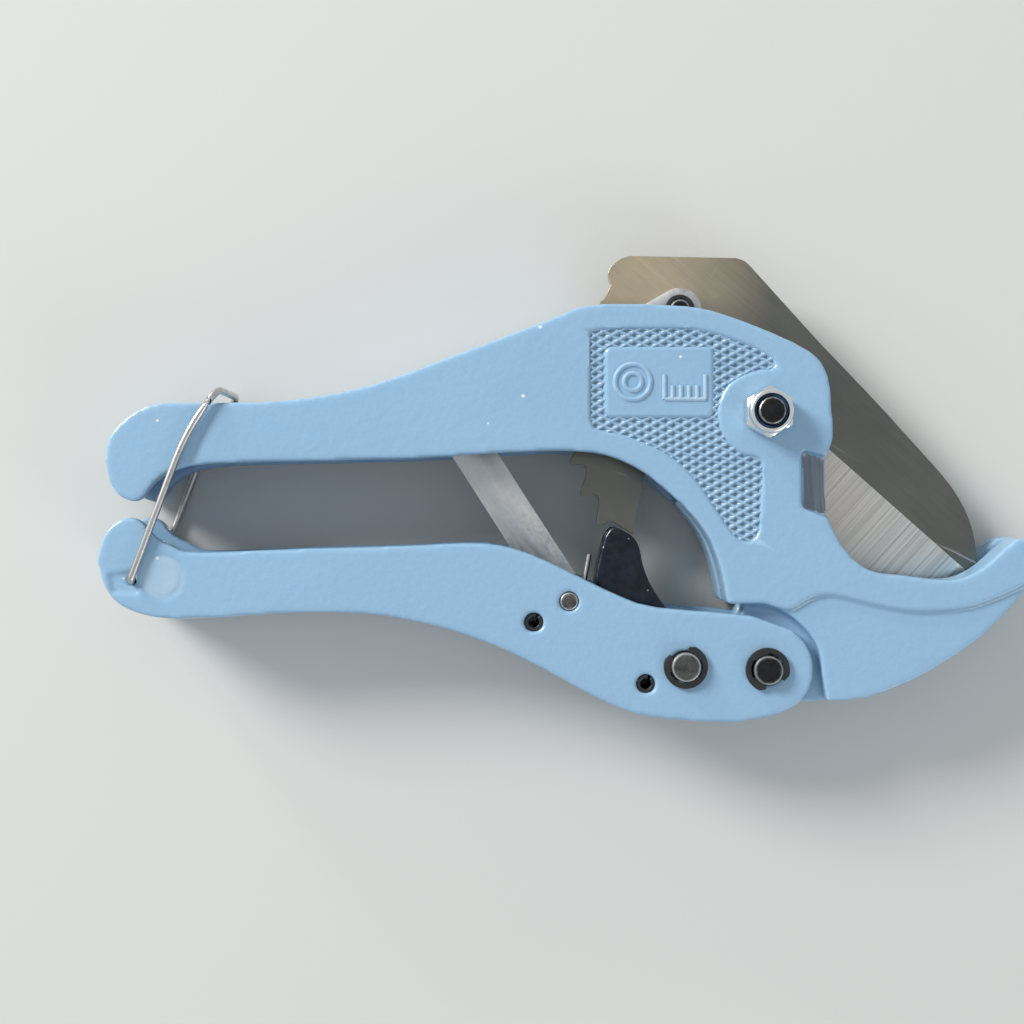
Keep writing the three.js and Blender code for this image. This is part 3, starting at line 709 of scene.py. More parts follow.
def two_sided(flat, faces):
    """A plate of the blade's thickness from flat triangles, closed round its rims."""
    half = blade_half(flat)
    ground = is_ground(np.array([flat[list(f)].mean(0) for f in faces]))
    work = bmesh.new()
    high = [work.verts.new((x, y, BLADE_MIDDLE + h)) for (x, y), h in zip(flat, half)]
    low = [work.verts.new((x, y, BLADE_MIDDLE - h)) for (x, y), h in zip(flat, half)]
    rims = {}
    for index, face in enumerate(faces):
        a, b, c = (flat[k] for k in face)
        turn = (b[0] - a[0]) * (c[1] - a[1]) - (b[1] - a[1]) * (c[0] - a[0])
        ring = list(face) if turn > 0 else list(reversed(face))
        work.faces.new([high[k] for k in ring]).material_index = int(ground[index])
        work.faces.new([low[k] for k in reversed(ring)]).material_index = int(ground[index])
        for start, end in zip(ring, ring[1:] + ring[:1]):
            if (end, start) in rims:
                del rims[(end, start)]
            else:
                rims[(start, end)] = True
    for start, end in rims:
        work.faces.new([high[end], high[start], low[start], low[end]])
    loose = [v for v in work.verts if not v.link_faces]
    bmesh.ops.delete(work, geom=loose, context="VERTS")
    work.edges.ensure_lookup_table()
    weights = work.edges.layers.float.new("bevel_weight_edge")
    full = (BLADE_HIGH - BLADE_LOW) / 2
    for edge in work.edges:
        thick = min(abs(v.co.z - BLADE_MIDDLE) for v in edge.verts) > full - 0.02
        if thick and len(edge.link_faces) == 2 and edge.calc_face_angle() > 1.2:
            edge[weights] = 1
    return shaped(to_mesh(work), ("BEVEL", {"width": 0.16, "segments": 2, "limit_method": "WEIGHT"}))


# ---------- small hardware ----------


def crisp_copy(node_name, bevel):
    """A CAD node's shape with narrow rounded edges."""
    work = in_mm(node_name)
    bmesh.ops.dissolve_limit(work, angle_limit=math.radians(1), verts=work.verts, edges=work.edges)
    settings = {"width": bevel, "segments": 2, "limit_method": "ANGLE",
                "angle_limit": math.radians(40)}
    return shaped(to_mesh(work), ("BEVEL", settings), ("TRIANGULATE", {}))


def turned_shape(centre, profile, steps=72, hexagon=None):
    """A closed profile of radius and level turned round a centre; its ends lie on the axis.

    With a hexagon's flat-to-centre size, no point stands past the hexagon's sides.
    """
    work = bmesh.new()
    rings = []
    for radius, level in profile:
        if radius <= 0:
            rings.append([work.verts.new((*centre, level))])
            continue
        ring = []
        for step in range(steps):
            angle = 2 * math.pi * step / steps
            reach = radius
            if hexagon:
                from_flat = (angle + math.pi / 6) % (math.pi / 3) - math.pi / 6
                reach = min(radius, hexagon / math.cos(from_flat))
            ring.append(work.verts.new((centre[0] + reach * math.cos(angle),
                                        centre[1] + reach * math.sin(angle), level)))
        rings.append(ring)
    for lower, upper in zip(rings, rings[1:]):
        for step in range(steps):
            after = (step + 1) % steps
            if len(lower) == 1:
                work.faces.new([lower[0], upper[after], upper[step]])
            elif len(upper) == 1:
                work.faces.new([lower[step], lower[after], upper[0]])
            else:
                work.faces.new([lower[step], lower[after], upper[after], upper[step]])
    if len(rings[0]) > 1:
        for step in range(steps):
            after = (step + 1) % steps
            work.faces.new([rings[-1][step], rings[-1][after], rings[0][after], rings[0][step]])
    bmesh.ops.recalc_face_normals(work, faces=work.faces)
    return to_mesh(work)


def lock_nut():
    """A hexagon nut with a round collar rolled over its nylon ring."""
    low, high = span("pivot_nut")
    flats = min(high.x - low.x, high.y - low.y) / 2 - 0.02
    corner = flats / math.cos(math.pi / 6)
    top = high.z
    shoulder = low.z + 0.66 * (top - low.z)
    rim = flats - 0.12
    chamfer = [(corner - 0.09 * k * k, shoulder - 1.0 + 0.22 * k) for k in range(5)]
    rolled = [(rim - 0.75 * (1 - math.cos(t)), top - 0.95 + 0.95 * math.sin(t))
              for t in np.linspace(0, math.pi / 2, 7)]
    lip = [(rim - 1.0, top - 0.05), (rim - 1.12, top - 0.3), (rim - 1.12, shoulder)]
    profile = [
        (NUT_BORE, low.z), (flats * 0.96, low.z), (corner - 0.12, low.z + 0.2), (corner, low.z + 0.5),
        *chamfer, (rim, shoulder + 0.05), *rolled, *lip, (NUT_BORE, shoulder - 0.1),
    ]
    return turned_shape(BLADE_PIVOT, profile, steps=144, hexagon=flats)


def nylon_ring():
    low, high = span("nut_insert")
    inner = NUT_BORE + 0.01
    outer = (high.x - low.x) / 2 - 0.3
    top = high.z - 0.1
    profile = [
        (inner, low.z), (outer, low.z), (outer, top - 0.2), (outer - 0.15, top),
        (inner + 0.25, top), (inner, top - 0.25),
    ]
    return turned_shape(BLADE_PIVOT, profile)


def grooved_pin(name, clip_name, centre, radius, head_radius):
    """A headed pin with a clip groove and chamfered end."""
    low, high = span(name)
    clip_low, clip_high = span(clip_name)
    head = low.z + (1.7 if radius > 3 else 1.3)
    neck = radius * 0.75
    profile = [
        (0, low.z), (head_radius - 0.4, low.z), (head_radius, low.z + 0.35),
        (head_radius, head - 0.25), (head_radius - 0.25, head), (radius, head),
        (radius, clip_low.z - 0.12), (neck, clip_low.z - 0.1), (neck, clip_high.z + 0.1),
        (radius, clip_high.z + 0.14), (radius, high.z - 0.4), (radius - 0.15, high.z - 0.16),
        (radius - 0.4, high.z - 0.06), (radius * 0.6, high.z - 0.06 - PIN_HOLLOW),
        (0, high.z - PIN_HOLLOW * 1.6),
    ]
    return turned_shape(centre, profile)


def e_clip(name, centre, radius, mouth):
    """A spring clip with three inner lugs and an open mouth, pushed into a pin's groove."""
    low, high = span(name)
    outer = radius * 1.53 - 0.05
    lug = radius * 0.75 + 0.12
    relief = radius * 1.13
    gap = math.radians(31)
    start = math.radians(mouth)
    sweep = 2 * math.pi - 2 * gap
    outside, inner = [], []
    steps = 96
    for step in range(steps + 1):
        share = step / steps
        angle = start + gap + sweep * share
        near_lug = max(math.cos(3 * (angle - start - math.pi)) - 0.1, 0)
        lobe = min(1, near_lug * 2.2)
        pinch = ease(np.array([min(share, 1 - share)]), 0, 0.07)[0]
        inner_radius = relief + (lug - relief) * lobe
        outer_radius = outer - 0.5 * (1 - pinch)
        outside.append((centre[0] + outer_radius * math.cos(angle),
                        centre[1] + outer_radius * math.sin(angle)))
        inner.append((centre[0] + inner_radius * math.cos(angle),
                      centre[1] + inner_radius * math.sin(angle)))
    work = bmesh.new()
    rows = []
    for level in (low.z, high.z):
        rows.append(([work.verts.new((px, py, level)) for px, py in outside],
                     [work.verts.new((px, py, level)) for px, py in inner]))
    (low_out, low_in), (high_out, high_in) = rows
    for k in range(steps):
        work.faces.new([high_in[k], high_out[k], high_out[k + 1], high_in[k + 1]])
        work.faces.new([low_in[k], low_in[k + 1], low_out[k + 1], low_out[k]])
        work.faces.new([low_out[k], low_out[k + 1], high_out[k + 1], high_out[k]])
        work.faces.new([low_in[k + 1], low_in[k], high_in[k], high_in[k + 1]])
    work.faces.new([low_in[0], low_out[0], high_out[0], high_in[0]])
    work.faces.new([low_out[-1], low_in[-1], high_in[-1], high_out[-1]])
    bmesh.ops.recalc_face_normals(work, faces=work.faces)
    settings = {"width": 0.12, "segments": 2, "limit_method": "ANGLE", "angle_limit": math.radians(50)}
    return shaped(to_mesh(work), ("BEVEL", settings))


# ---------- wire pieces ----------


def wire(points, radius):
    """A round wire along a line of points, with closed ends."""
    curve = bpy.data.curves.new("wire", "CURVE")
    curve.dimensions = "3D"
    curve.bevel_depth = radius
    curve.bevel_resolution = 4
    curve.use_fill_caps = True
    spline = curve.splines.new("POLY")
    spline.points.add(len(points) - 1)
    for target, place in zip(spline.points, points):
        target.co = (*place, 1)
    return curve_mesh(curve)


def bent_line(turns, bends, steps=8):
    """A line through the turning points, each rounded by its own bend."""
    path = [turns[0]]
    for before, turn, after, bend in zip(turns, turns[1:], turns[2:], bends):
        start = turn + (before - turn).normalized() * bend
        end = turn + (after - turn).normalized() * bend
        for step in range(steps + 1):
            t = step / steps
            path.append(start * (1 - t) ** 2 + turn * 2 * t * (1 - t) + end * t ** 2)
    path.append(turns[-1])
    return path


def latch_wire():
    """The wire bail: hooked into the lower grip, over the upper grip and down the far side."""
    low, high = span("latch_bail")
    levels = [low.z + WIRE_RADIUS, high.z - WIRE_RADIUS]
    in_hole = [FAR_FACE + 3.1, NEAR_FACE - 3.1]
    turns = [
        Vector((*BAIL_HOLE, in_hole[0])), Vector((*BAIL_HOLE, levels[0])),
        Vector((*BAIL_SHOULDER, levels[0])), Vector((*BAIL_BAR, levels[0])),
        Vector((*BAIL_BAR, levels[1])), Vector((*BAIL_SHOULDER, levels[1])),
        Vector((*BAIL_HOLE, levels[1])), Vector((*BAIL_HOLE, in_hole[1])),
    ]
    bends = [BEND, SHOULDER_BEND, CROSSING_BEND, CROSSING_BEND, SHOULDER_BEND, BEND]
    return wire(bent_line(turns, bends), WIRE_RADIUS)


def spring_wire():
    """The torsion spring: a leg up the pawl's back, three coils and a leg to the anchor pin."""
    coil_radius = 2 + 0.3 + SPRING_RADIUS + 0.2
    pitch = 2 * SPRING_RADIUS + 0.25
    top = span("return_link")[0].z - SPRING_RADIUS - 0.9
    start_angle, end_angle = 15, 15 + 360 * 3 + 130
    points = [Vector((-38.6, -31.5, BLADE_MIDDLE)), Vector((-39.2, -34.5, BLADE_MIDDLE)),
              Vector((-39.9, -38, top + 0.1))]
    count = round((end_angle - start_angle) / 360 * 24)
    for step in range(count + 1):
        turn = (end_angle - start_angle) * step / count
        angle = math.radians(start_angle - turn)
        points.append(Vector((SLOT_PIN[0] + coil_radius * math.cos(angle),
                              SLOT_PIN[1] + coil_radius * math.sin(angle),
                              top - pitch * turn / 360)))
    clear = 2 + SPRING_RADIUS + 0.3
    for offset in (1.5, -2):
        points.append(Vector((ANCHOR_PIN[0] + offset, ANCHOR_PIN[1] + clear, points[-1].z - 0.1)))
    return wire(smooth_line(points, steps=3), SPRING_RADIUS)


# ---------- node groups shared by the finishes ----------


def shader_group(name, inputs, outputs):
    """An empty shader group with named number and vector sockets."""
    tree = bpy.data.node_groups.new(name, "ShaderNodeTree")
    for socket_name, default in inputs:
        kind = "NodeSocketVector" if default is None else "NodeSocketFloat"
        socket = tree.interface.new_socket(socket_name, in_out="INPUT", socket_type=kind)
        if default is not None:
            socket.default_value = default
    for socket_name in outputs:
        tree.interface.new_socket(socket_name, in_out="OUTPUT", socket_type="NodeSocketFloat")
    return tree, tree.nodes.new("NodeGroupInput").outputs


def noise(tree, vector, scale, detail=3.0, roughness=0.5):
    inputs = {"Vector": vector, "Scale": scale, "Detail": detail, "Roughness": roughness}
    return node(tree, "ShaderNodeTexNoise", inputs).outputs["Fac"]


def fitted(tree, value, low, high, to_low=0.0, to_high=1.0):
    """A value mapped from one range to another, kept within it."""
    inputs = {"Value": value, "From Min": low, "From Max": high, "To Min": to_low, "To Max": to_high}
    return node(tree, "ShaderNodeMapRange", inputs, clamp=True).outputs[0]


def speck_group():
    """Small scattered dots, such as dust or grit."""
    tree, given = shader_group("specks", [("Vector", None), ("Scale", 400.0), ("Size", 0.2),
                                          ("Share", 0.2)], ["Mask"])
    cells = node(tree, "ShaderNodeTexVoronoi", {"Vector": given["Vector"], "Scale": given["Scale"]})
    dot = math_node(tree, "LESS_THAN", cells.outputs["Distance"], given["Size"])
    pick = node(tree, "ShaderNodeSeparateColor", {0: cells.outputs["Color"]}).outputs[0]
    chosen = math_node(tree, "LESS_THAN", pick, given["Share"])
    node(tree, "NodeGroupOutput", {"Mask": math_node(tree, "MULTIPLY", dot, chosen)})
    return tree


def streak_group():
    """Fine lines that run one way, as left by a brush, a grinding wheel or a scratch."""
    tree, given = shader_group("streaks", [("Vector", None), ("Angle", 0.0), ("Scale", 900.0),
                                           ("Stretch", 30.0), ("Wander", 0.0)], ["Value"])
    drift = node(tree, "ShaderNodeTexNoise", {"Vector": given["Vector"], "Scale": 60.0, "Detail": 1.0})
    lean = node(tree, "ShaderNodeVectorMath", {0: drift.outputs["Color"], 1: (0.5, 0.5, 0.5)},
                operation="SUBTRACT")
    bent = node(tree, "ShaderNodeVectorMath", {0: lean.outputs[0], "Scale": given["Wander"]},
                operation="SCALE")
    moved = node(tree, "ShaderNodeVectorMath", {0: given["Vector"], 1: bent.outputs[0]}, operation="ADD")
    turned = node(tree, "ShaderNodeVectorRotate", {"Vector": moved.outputs[0], "Angle": given["Angle"]},
                  rotation_type="Z_AXIS")
    parts = node(tree, "ShaderNodeSeparateXYZ", {0: turned.outputs[0]})
    short = math_node(tree, "DIVIDE", parts.outputs["X"], given["Stretch"])
    narrow = node(tree, "ShaderNodeCombineXYZ",
                  {"X": short, "Y": parts.outputs["Y"],
                   "Z": math_node(tree, "DIVIDE", parts.outputs["Z"], given["Stretch"])})
    node(tree, "NodeGroupOutput", {"Value": noise(tree, narrow.outputs[0], given["Scale"], 3.0, 0.6)})
    return tree


def scratch_group():
    """Sparse thin scratches, from two crossing sets of streaks."""
    tree, given = shader_group("scratches", [("Vector", None), ("Scale", 500.0), ("Least", 0.68)],
                               ["Mask"])
    masks = []
    for angle in (0.5, 2.2):
        inputs = {"Vector": given["Vector"], "Angle": angle, "Scale": given["Scale"],
                  "Stretch": 22.0, "Wander": 0.004}
        streak = node(tree, "ShaderNodeGroup", inputs, node_tree=bpy.data.node_groups["streaks"])
        above = math_node(tree, "ADD", given["Least"], 0.05)
        masks.append(fitted(tree, streak.outputs[0], given["Least"], above))
    node(tree, "NodeGroupOutput", {"Mask": math_node(tree, "MAXIMUM", *masks)})
    return tree


def wear_group():
    """Rubbed outer edges, broken up by grain."""
    tree, given = shader_group("edge_wear", [("Edge", 0.0), ("Vector", None), ("Scale", 700.0),
                                             ("Least", 0.3), ("Soft", 0.3)], ["Mask"])
    grain = noise(tree, given["Vector"], given["Scale"], 4.0, 0.65)
    rough_edge = math_node(tree, "MULTIPLY", given["Edge"], math_node(tree, "ADD", grain, 0.5))
    top = math_node(tree, "ADD", given["Least"], given["Soft"])
    node(tree, "NodeGroupOutput", {"Mask": fitted(tree, rough_edge, given["Least"], top)})
    return tree


for make_group in (speck_group, streak_group, scratch_group, wear_group):
    make_group()


# ---------- finishes ----------


class Finish:
    """A material under construction: its nodes, its shader and its place vector."""

    def __init__(self, name, **sockets):
        self.material = bpy.data.materials.new(name)
        self.material.use_nodes = True
        self.tree = self.material.node_tree
        self.shader = self.tree.nodes["Principled BSDF"]
        for key, value in sockets.items():
            self.shader.inputs[key.replace("_", " ")].default_value = value
        self.place = self.tree.nodes.new("ShaderNodeTexCoord").outputs["Object"]
        self.edge = node(self.tree, "ShaderNodeAttribute", attribute_name="edge").outputs["Fac"]
        self.cavity = node(self.tree, "ShaderNodeAttribute", attribute_name="cavity").outputs["Fac"]

    def group(self, name, **values):
        """One of the shared groups, laid out by the piece's own place."""
        shared = bpy.data.node_groups[name]
        inputs = {"Vector": self.place, **values}
        return node(self.tree, "ShaderNodeGroup", inputs, node_tree=shared).outputs[0]

    def mix(self, share, first, second):
        """A colour between two colours."""
        ends = [c if isinstance(c, bpy.types.NodeSocket) else (*c, 1) for c in (first, second)]
        inputs = {0: share, 6: ends[0], 7: ends[1]}
        return node(self.tree, "ShaderNodeMix", inputs, data_type="RGBA").outputs[2]

    def noise(self, scale, detail=3.0, roughness=0.5):
        return noise(self.tree, self.place, scale, detail, roughness)

    def along(self, axis):
        """The place along one axis, in millimetres."""
        parts = node(self.tree, "ShaderNodeSeparateXYZ", {0: self.place})
        return self.math("MULTIPLY", parts.outputs[axis], 1000.0)

    def distance(self, centre):
        """Millimetres from an upright line through a point x, y."""
        across = [self.math("SUBTRACT", self.along(axis), value) for axis, value in zip("XY", centre)]
        squares = [self.math("MULTIPLY", part, part) for part in across]
        return self.math("SQRT", self.math("ADD", *squares))

    def fit(self, value, *limits):
        return fitted(self.tree, value, *limits)

    def math(self, operation, *values):
        return math_node(self.tree, operation, *values)

    def colour(self, value):
        self.tree.links.new(value, self.shader.inputs["Base Color"])

    def roughness(self, value):
        self.tree.links.new(value, self.shader.inputs["Roughness"])

    def bump(self, height, distance, strength=1.0):
        """Fine relief; distance is its height in millimetres."""
        made = node(self.tree, "ShaderNodeBump",
                    {"Height": height, "Distance": distance * MM, "Strength": strength})
        self.tree.links.new(made.outputs[0], self.shader.inputs["Normal"])


def casting_paint():
    """Blue-grey enamel over a cast surface, with dust, fine scratches, rubbed edges and painted shade
    darkening its hollows.
    """
    finish = Finish("casting_paint", Roughness=0.3, Coat_Weight=0.35, Coat_Roughness=0.12)
    cloudy = finish.noise(38, 3.0)
    tint = finish.mix(cloudy, PAINT_DARK, PAINT_LIGHT)
    grain = finish.fit(finish.noise(1500, 2.0), 0.35, 0.65)
    tint = finish.mix(finish.math("MULTIPLY", grain, 0.12), tint, PAINT_DEEP)
    rubbed = finish.group("edge_wear", Edge=finish.edge, Scale=520, Least=0.62, Soft=0.35)
    tint = finish.mix(finish.math("MULTIPLY", rubbed, 0.35), tint, RUBBED_PAINT)
    # painted shade: hollows, the knurl's pits and the panel's crease are darkened towards near black,
    # standing in for the shade that falls there
    painted_recess_shade = finish.math("MULTIPLY", finish.fit(finish.cavity, 0.15, 0.85), 0.42)
    tint = finish.mix(painted_recess_shade, tint, PAINTED_RECESS_SHADE)
    pad = finish.fit(finish.distance(LATCH_PAD), PAD_RADIUS + 0.3, PAD_RADIUS - 0.2)
    tint = finish.mix(finish.math("MULTIPLY", pad, 0.3), tint, RUBBED_PAINT)
    dust = finish.group("specks", Scale=260, Size=0.1, Share=0.12)
    lint = finish.group("scratches", Scale=330, Least=0.735)
    tint = finish.mix(finish.math("MULTIPLY", dust, 0.8), tint, DUST)
    tint = finish.mix(finish.math("MULTIPLY", lint, 0.45), tint, DUST)
    finish.colour(tint)
    finish.roughness(finish.fit(finish.noise(140, 4.0), 0.3, 0.7, 0.26, 0.4))
    peel = finish.noise(640, 2.0, 0.4)
    fine = finish.noise(1700, 2.0)
    relief = finish.math("ADD", peel, finish.math("MULTIPLY", fine, 0.3))
    finish.bump(relief, 0.085, 0.85)
    return finish.material


def blade_flat():
    """The blade's ground flat: smooth, dark and lightly scratched, with a painted warm reflection on its
    upper left.
    """
    finish = Finish("blade_flat_steel", Metallic=1.0)
    brushed = finish.group("streaks", Angle=0.7, Scale=1500, Stretch=26, Wander=0.001)
    cloudy = finish.noise(45, 3.0)
    tint = finish.mix(finish.fit(cloudy, 0.3, 0.7), STEEL_DARK, STEEL_OLIVE)
    tint = finish.mix(finish.math("MULTIPLY", brushed, 0.35), tint, STEEL_PALE)
    scratch = finish.group("scratches", Scale=420, Least=0.69)
    tint = finish.mix(finish.math("MULTIPLY", scratch, 0.6), tint, STEEL_BRIGHT)
    # painted reflection: a bright warm patch on the flat's upper left, towards the lamps, stands in for
    # light reflected there
    to_left = finish.fit(finish.along("X"), 3, -20)
    nose = finish.math("MULTIPLY", to_left, finish.fit(finish.along("Y"), 16, 27))
    painted_reflection = finish.math("MULTIPLY", nose, finish.fit(cloudy, 0.25, 0.6, 0.5, 0.9))
    tint = finish.mix(painted_reflection, tint, PAINTED_WARM_REFLECTION)
    finish.colour(tint)
    finish.roughness(finish.fit(brushed, 0.3, 0.7, 0.26, 0.44))
    finish.bump(finish.math("ADD", brushed, scratch), 0.012, 0.6)
    return finish.material


def blade_ground():
    """The blade's bevel, with the grinding wheel's lines across it."""
    finish = Finish("blade_ground_steel", Metallic=1.0)
    lines = finish.group("streaks", Angle=GRIND_TURN, Scale=1900, Stretch=150, Wander=0.0001)
    broad = finish.group("streaks", Angle=GRIND_TURN, Scale=700, Stretch=110, Wander=0.0002)
    both = finish.math("ADD", finish.math("MULTIPLY", lines, 0.7), finish.math("MULTIPLY", broad, 0.3))
    tint = finish.mix(finish.fit(both, 0.36, 0.62), GROUND_DARK, GROUND_PALE)
    to_left = finish.fit(finish.along("X"), 32, 17)
    warm = finish.math("MULTIPLY", to_left, finish.fit(finish.noise(60, 2.0), 0.3, 0.6))
    tint = finish.mix(finish.math("MULTIPLY", warm, 0.35), tint, GROUND_WARM)
    finish.colour(tint)
    finish.roughness(finish.fit(both, 0.35, 0.65, 0.34, 0.5))
    finish.bump(both, 0.03, 0.8)
    return finish.material


def stamped_steel():
    """Dull cold-rolled strip with a fine grain along it and bright sheared edges."""
    finish = Finish("link_steel", Metallic=1.0)
    grain = finish.group("streaks", Angle=0.95, Scale=1100, Stretch=9, Wander=0.002)
    pits = finish.noise(900, 4.0, 0.7)
    both = finish.math("ADD", finish.math("MULTIPLY", grain, 0.5), finish.math("MULTIPLY", pits, 0.5))
    tint = finish.mix(finish.fit(both, 0.35, 0.65), LINK_DARK, LINK_PALE)
    rubbed = finish.group("edge_wear", Edge=finish.edge, Scale=900, Least=0.15, Soft=0.3)
    tint = finish.mix(finish.math("MULTIPLY", rubbed, 0.7), tint, STEEL_BRIGHT)
    finish.colour(tint)
    finish.roughness(finish.fit(both, 0.3, 0.7, 0.42, 0.6))
    finish.bump(both, 0.03, 0.6)
    return finish.material


def machined_alloy_with_painted_shade():
    """The casting's own grey metal where paint is cut away, with faint cutter lines; its dark colour is
    partly painted shade, standing in for the shade on the neck's step.
    """
    finish = Finish("bare_alloy_with_painted_shade", Metallic=0.9)
    lines = finish.group("streaks", Angle=1.5, Scale=1300, Stretch=20, Wander=0.001)
    finish.colour(finish.mix(finish.fit(lines, 0.3, 0.7), ALLOY_WITH_PAINTED_SHADE_DARK, ALLOY_WITH_PAINTED_SHADE_PALE))
    finish.roughness(finish.fit(lines, 0.3, 0.7, 0.36, 0.5))
    finish.bump(lines, 0.012, 0.5)
    return finish.material


def black_oxide(name, base, worn, gloss=0.3, rub=0.75):
    """Blackened steel with oily variation and bright rubbed edges."""
    finish = Finish(name, Metallic=0.85, Coat_Weight=0.25, Coat_Roughness=0.2)
    mottle = finish.noise(420, 5.0, 0.65)
    tint = finish.mix(finish.fit(mottle, 0.35, 0.7), base, tuple(2.2 * c for c in base))
    rubbed = finish.group("edge_wear", Edge=finish.edge, Scale=800, Least=0.35, Soft=0.35)
    tint = finish.mix(finish.math("MULTIPLY", rubbed, rub), tint, worn)
    grit = finish.group("specks", Scale=700, Size=0.14, Share=0.06)
    tint = finish.mix(finish.math("MULTIPLY", grit, 0.4), tint, DUST)
    finish.colour(tint)
    finish.roughness(finish.fit(mottle, 0.3, 0.7, gloss, gloss + 0.2))
    finish.bump(mottle, 0.02, 0.5)
    return finish.material


def bright_plate(name, pale, dark, gloss):
    """Zinc-plated or drawn steel: bright, a little cloudy, lightly scratched."""
    finish = Finish(name, Metallic=1.0)
    cloudy = finish.noise(260, 4.0, 0.6)
    tint = finish.mix(finish.fit(cloudy, 0.3, 0.75), pale, dark)
    scratch = finish.group("scratches", Scale=900, Least=0.66)
    tint = finish.mix(finish.math("MULTIPLY", scratch, 0.4), tint, dark)
    finish.colour(tint)
    finish.roughness(finish.fit(cloudy, 0.3, 0.7, gloss, gloss + 0.16))
    finish.bump(finish.math("ADD", cloudy, scratch), 0.01, 0.5)
    return finish.material


def dyed_nylon():
    finish = Finish("nylon", Roughness=0.45)
    mottle = finish.noise(500, 3.0)
    finish.colour(finish.mix(finish.fit(mottle, 0.3, 0.7), (0.01, 0.035, 0.1), (0.03, 0.1, 0.26)))
    finish.roughness(finish.fit(mottle, 0.3, 0.7, 0.38, 0.55))
    finish.bump(mottle, 0.03, 0.5)
    return finish.material


PAINT_DARK = (0.25, 0.425, 0.605)
PAINT_LIGHT = (0.276, 0.458, 0.645)
PAINT_DEEP = (0.2, 0.34, 0.47)
RUBBED_PAINT = (0.55, 0.67, 0.75)
# colour of the painted shade in the casting's hollows
PAINTED_RECESS_SHADE = (0.045, 0.06, 0.065)
DUST = (0.8, 0.83, 0.86)
# bare metal of the neck's step, made far darker than the alloy is: painted shade
ALLOY_WITH_PAINTED_SHADE_DARK = (0.14, 0.17, 0.2)
ALLOY_WITH_PAINTED_SHADE_PALE = (0.22, 0.26, 0.3)
STEEL_DARK = (0.125, 0.132, 0.126)
STEEL_OLIVE = (0.19, 0.185, 0.158)
STEEL_PALE = (0.25, 0.245, 0.22)
STEEL_BRIGHT = (0.62, 0.62, 0.6)
# colour of the painted warm reflection on the blade's flat
PAINTED_WARM_REFLECTION = (0.75, 0.62, 0.42)
GROUND_DARK = (0.46, 0.45, 0.42)
GROUND_PALE = (0.82, 0.81, 0.77)
GROUND_WARM = (0.66, 0.5, 0.36)
LINK_DARK = (0.28, 0.295, 0.31)
LINK_PALE = (0.56, 0.59, 0.62)
GRIND_TURN = -math.atan2(GRIND_TO[0] - GRIND_FROM[0], GRIND_FROM[1] - GRIND_TO[1])

paint = casting_paint()
flat_steel = blade_flat()
ground_steel = blade_ground()
link_steel = stamped_steel()
bare_alloy_with_painted_shade = machined_alloy_with_painted_shade()
black_steel = black_oxide("black_steel", (0.012, 0.012, 0.013), (0.42, 0.42, 0.4))
clip_black = black_oxide("clip_black", (0.01, 0.01, 0.011), (0.3, 0.3, 0.29), 0.28, 0.12)
pawl_black = black_oxide("pawl_black", (0.012, 0.016, 0.024), (0.13, 0.15, 0.18), 0.16, 0.4)
pin_grey = black_oxide("pin_end_steel", (0.07, 0.07, 0.065), (0.6, 0.6, 0.58))
plated_steel = bright_plate("plated_steel", (0.96, 0.95, 0.92), (0.76, 0.75, 0.72), 0.18)
drawn_wire = bright_plate("spring_wire", (0.66, 0.65, 0.62), (0.42, 0.4, 0.37), 0.24)
nylon = dyed_nylon()

# ---------- pieces ----------


def castings():
    body_features = [(panel_feature, 2.6), (ledge_feature, 5.0), (grip_end_valley, 3.0)]
    piece("main_casting", bare_faces(cast_skin("main_body", body_features)),
          "frame", [paint, bare_alloy_with_painted_shade], ["main_body"], crease=60)
    handle_features = [(handle_end_pocket, 2.6), (pad_rim, 2.0)]
    piece("handle_casting", cast_skin("moving_handle", handle_features),
          "handle", paint, ["moving_handle"], crease=60)
    values = {"Spacing": RIDGE_SPACING, "Slope": math.radians(RIDGE_SLOPE), "Height": RIDGE_HEIGHT,
              "Foot Share": RIDGE_SHARE, "Material": paint}
    knurl = with_tree(knurl_blank(), ridge_tree(), values)
    piece("panel_knurl", on_both_faces(knurl), "frame", paint, crease=80)
    piece("plaque_marks", on_both_faces(plaque_marks()), "frame", paint)


def cutting_pieces():
    piece("cutting_blade", blade_plate(), "cutter", [flat_steel, ground_steel],
          ["blade"], crease=18)
    piece("return_strip", crisp_copy("return_link", 0.22), "link", link_steel,
          ["return_link"])
    shape = shaped(
        to_mesh(in_mm("pawl")),
        ("REMESH", {"mode": "VOXEL", "voxel_size": PAWL_GRAIN}),
        ("SMOOTH", {"factor": 0.5, "iterations": 40}),
    )
    piece("folded_pawl", shape, "pawl", pawl_black, ["pawl"], crease=60)


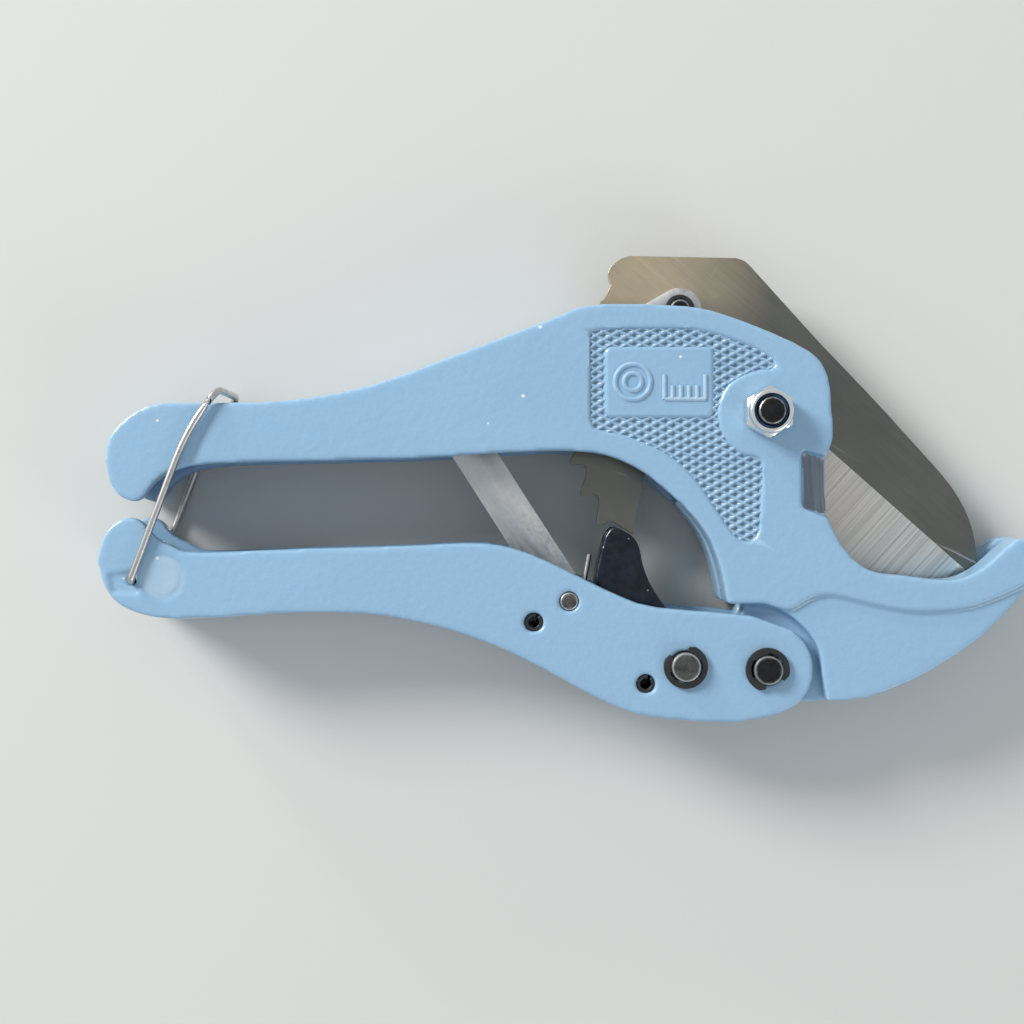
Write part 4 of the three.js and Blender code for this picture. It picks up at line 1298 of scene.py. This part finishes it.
def fasteners():
    piece("pivot_screw", crisp_copy("pivot_bolt", 0.5), "frame", black_steel,
          ["pivot_bolt"])
    piece("lock_nut", lock_nut(), "frame", plated_steel, ["pivot_nut"])
    piece("nylon_ring", nylon_ring(), "frame", nylon, ["nut_insert"])
    for name, node_name, bevel in (("steel_sleeve", "pivot_sleeve", 0.15),
                                   ("washer_far", "blade_washer_far", 0.12),
                                   ("washer_near", "blade_washer_near", 0.12)):
        piece(name, crisp_copy(node_name, bevel), "frame", plated_steel, [node_name])
    for name, clip_name, centre, radius, head, body, finish, mouth in (
            ("handle_pin", "handle_pin_clip", HANDLE_PIVOT, *LONG_PIN, "handle", black_steel, -65),
            ("pawl_pin", "pawl_pin_clip", PAWL_PIVOT, *LONG_PIN, "handle", pin_grey, 112),
            ("link_pin", "link_pin_clip", LINK_PIN, *SHORT_PIN, "cutter", black_steel, 210)):
        piece("turned_" + name, grooved_pin(name, clip_name, centre, radius, head), body,
              finish, [name])
        piece("spring_clip_of_" + name, e_clip(clip_name, centre, radius, mouth), body,
              clip_black, [clip_name])
    piece("slot_cross_pin", crisp_copy("slot_pin", 0.3), "handle", pin_grey,
          ["slot_pin"])
    for name in ("spring_anchor_pin", "pawl_stop_pin"):
        piece("rolled_" + name, crisp_copy(name, 0.15), "handle", clip_black, [name])


def wire_pieces():
    piece("latch_wire", latch_wire(), "latch", drawn_wire, ["latch_bail"])
    piece("torsion_spring", spring_wire(), "handle", drawn_wire, ["pawl_spring"])


castings()
cutting_pieces()
fasteners()
wire_pieces()

# ---------- floor, light and camera ----------


def plain_floor():
    work = bmesh.new()
    bmesh.ops.create_grid(work, x_segments=1, y_segments=1, size=3.0)
    bmesh.ops.translate(work, verts=work.verts, vec=(0, 0, FLOOR_LEVEL - 0.0002))
    floor = bpy.data.objects.new("floor", to_mesh(work))
    bpy.context.scene.collection.objects.link(floor)
    pale = bpy.data.materials.new("pale_floor")
    pale.use_nodes = True
    pale.node_tree.nodes["Principled BSDF"].inputs["Base Color"].default_value = (0.62, 0.62, 0.6, 1)
    pale.node_tree.nodes["Principled BSDF"].inputs["Roughness"].default_value = 0.75
    floor.data.materials.append(pale)


def soft_light(name, place, aim, size, power, colour=(1, 1, 1)):
    light = bpy.data.lights.new(name, "AREA")
    light.shape = "DISK"
    light.size = size
    light.energy = power
    light.color = colour
    lamp = bpy.data.objects.new(name, light)
    bpy.context.scene.collection.objects.link(lamp)
    lamp.location = place
    lamp.rotation_euler = (Vector(aim) - Vector(place)).to_track_quat("-Z", "Y").to_euler()


def studio():
    aim = (-0.04, -0.02, 0.01)
    soft_light("window", (-1.9, 1.35, 1.25), aim, 0.9, 70.0, (1.0, 0.98, 0.94))
    soft_light("low_sun", (-1.5, 1.9, 0.5), aim, 0.25, 14.0, (1.0, 0.95, 0.86))
    soft_light("fill", (1.5, -1.7, 1.1), aim, 1.2, 12.0, (0.94, 0.97, 1.0))
    world = bpy.data.worlds.new("studio")
    world.use_nodes = True
    world.node_tree.nodes["Background"].inputs["Color"].default_value = (0.9, 0.95, 1.0, 1)
    world.node_tree.nodes["Background"].inputs["Strength"].default_value = 0.58
    bpy.context.scene.world = world
    bpy.context.scene.view_settings.view_transform = "Standard"


def look_down():
    view = bpy.data.cameras.new("camera")
    view.lens = 51.4
    view.clip_start = 0.01
    camera = bpy.data.objects.new("camera", view)
    bpy.context.scene.collection.objects.link(camera)
    camera.location = (-0.0562, -0.0219, 0.346)
    bpy.context.scene.camera = camera


plain_floor()
studio()
look_down()
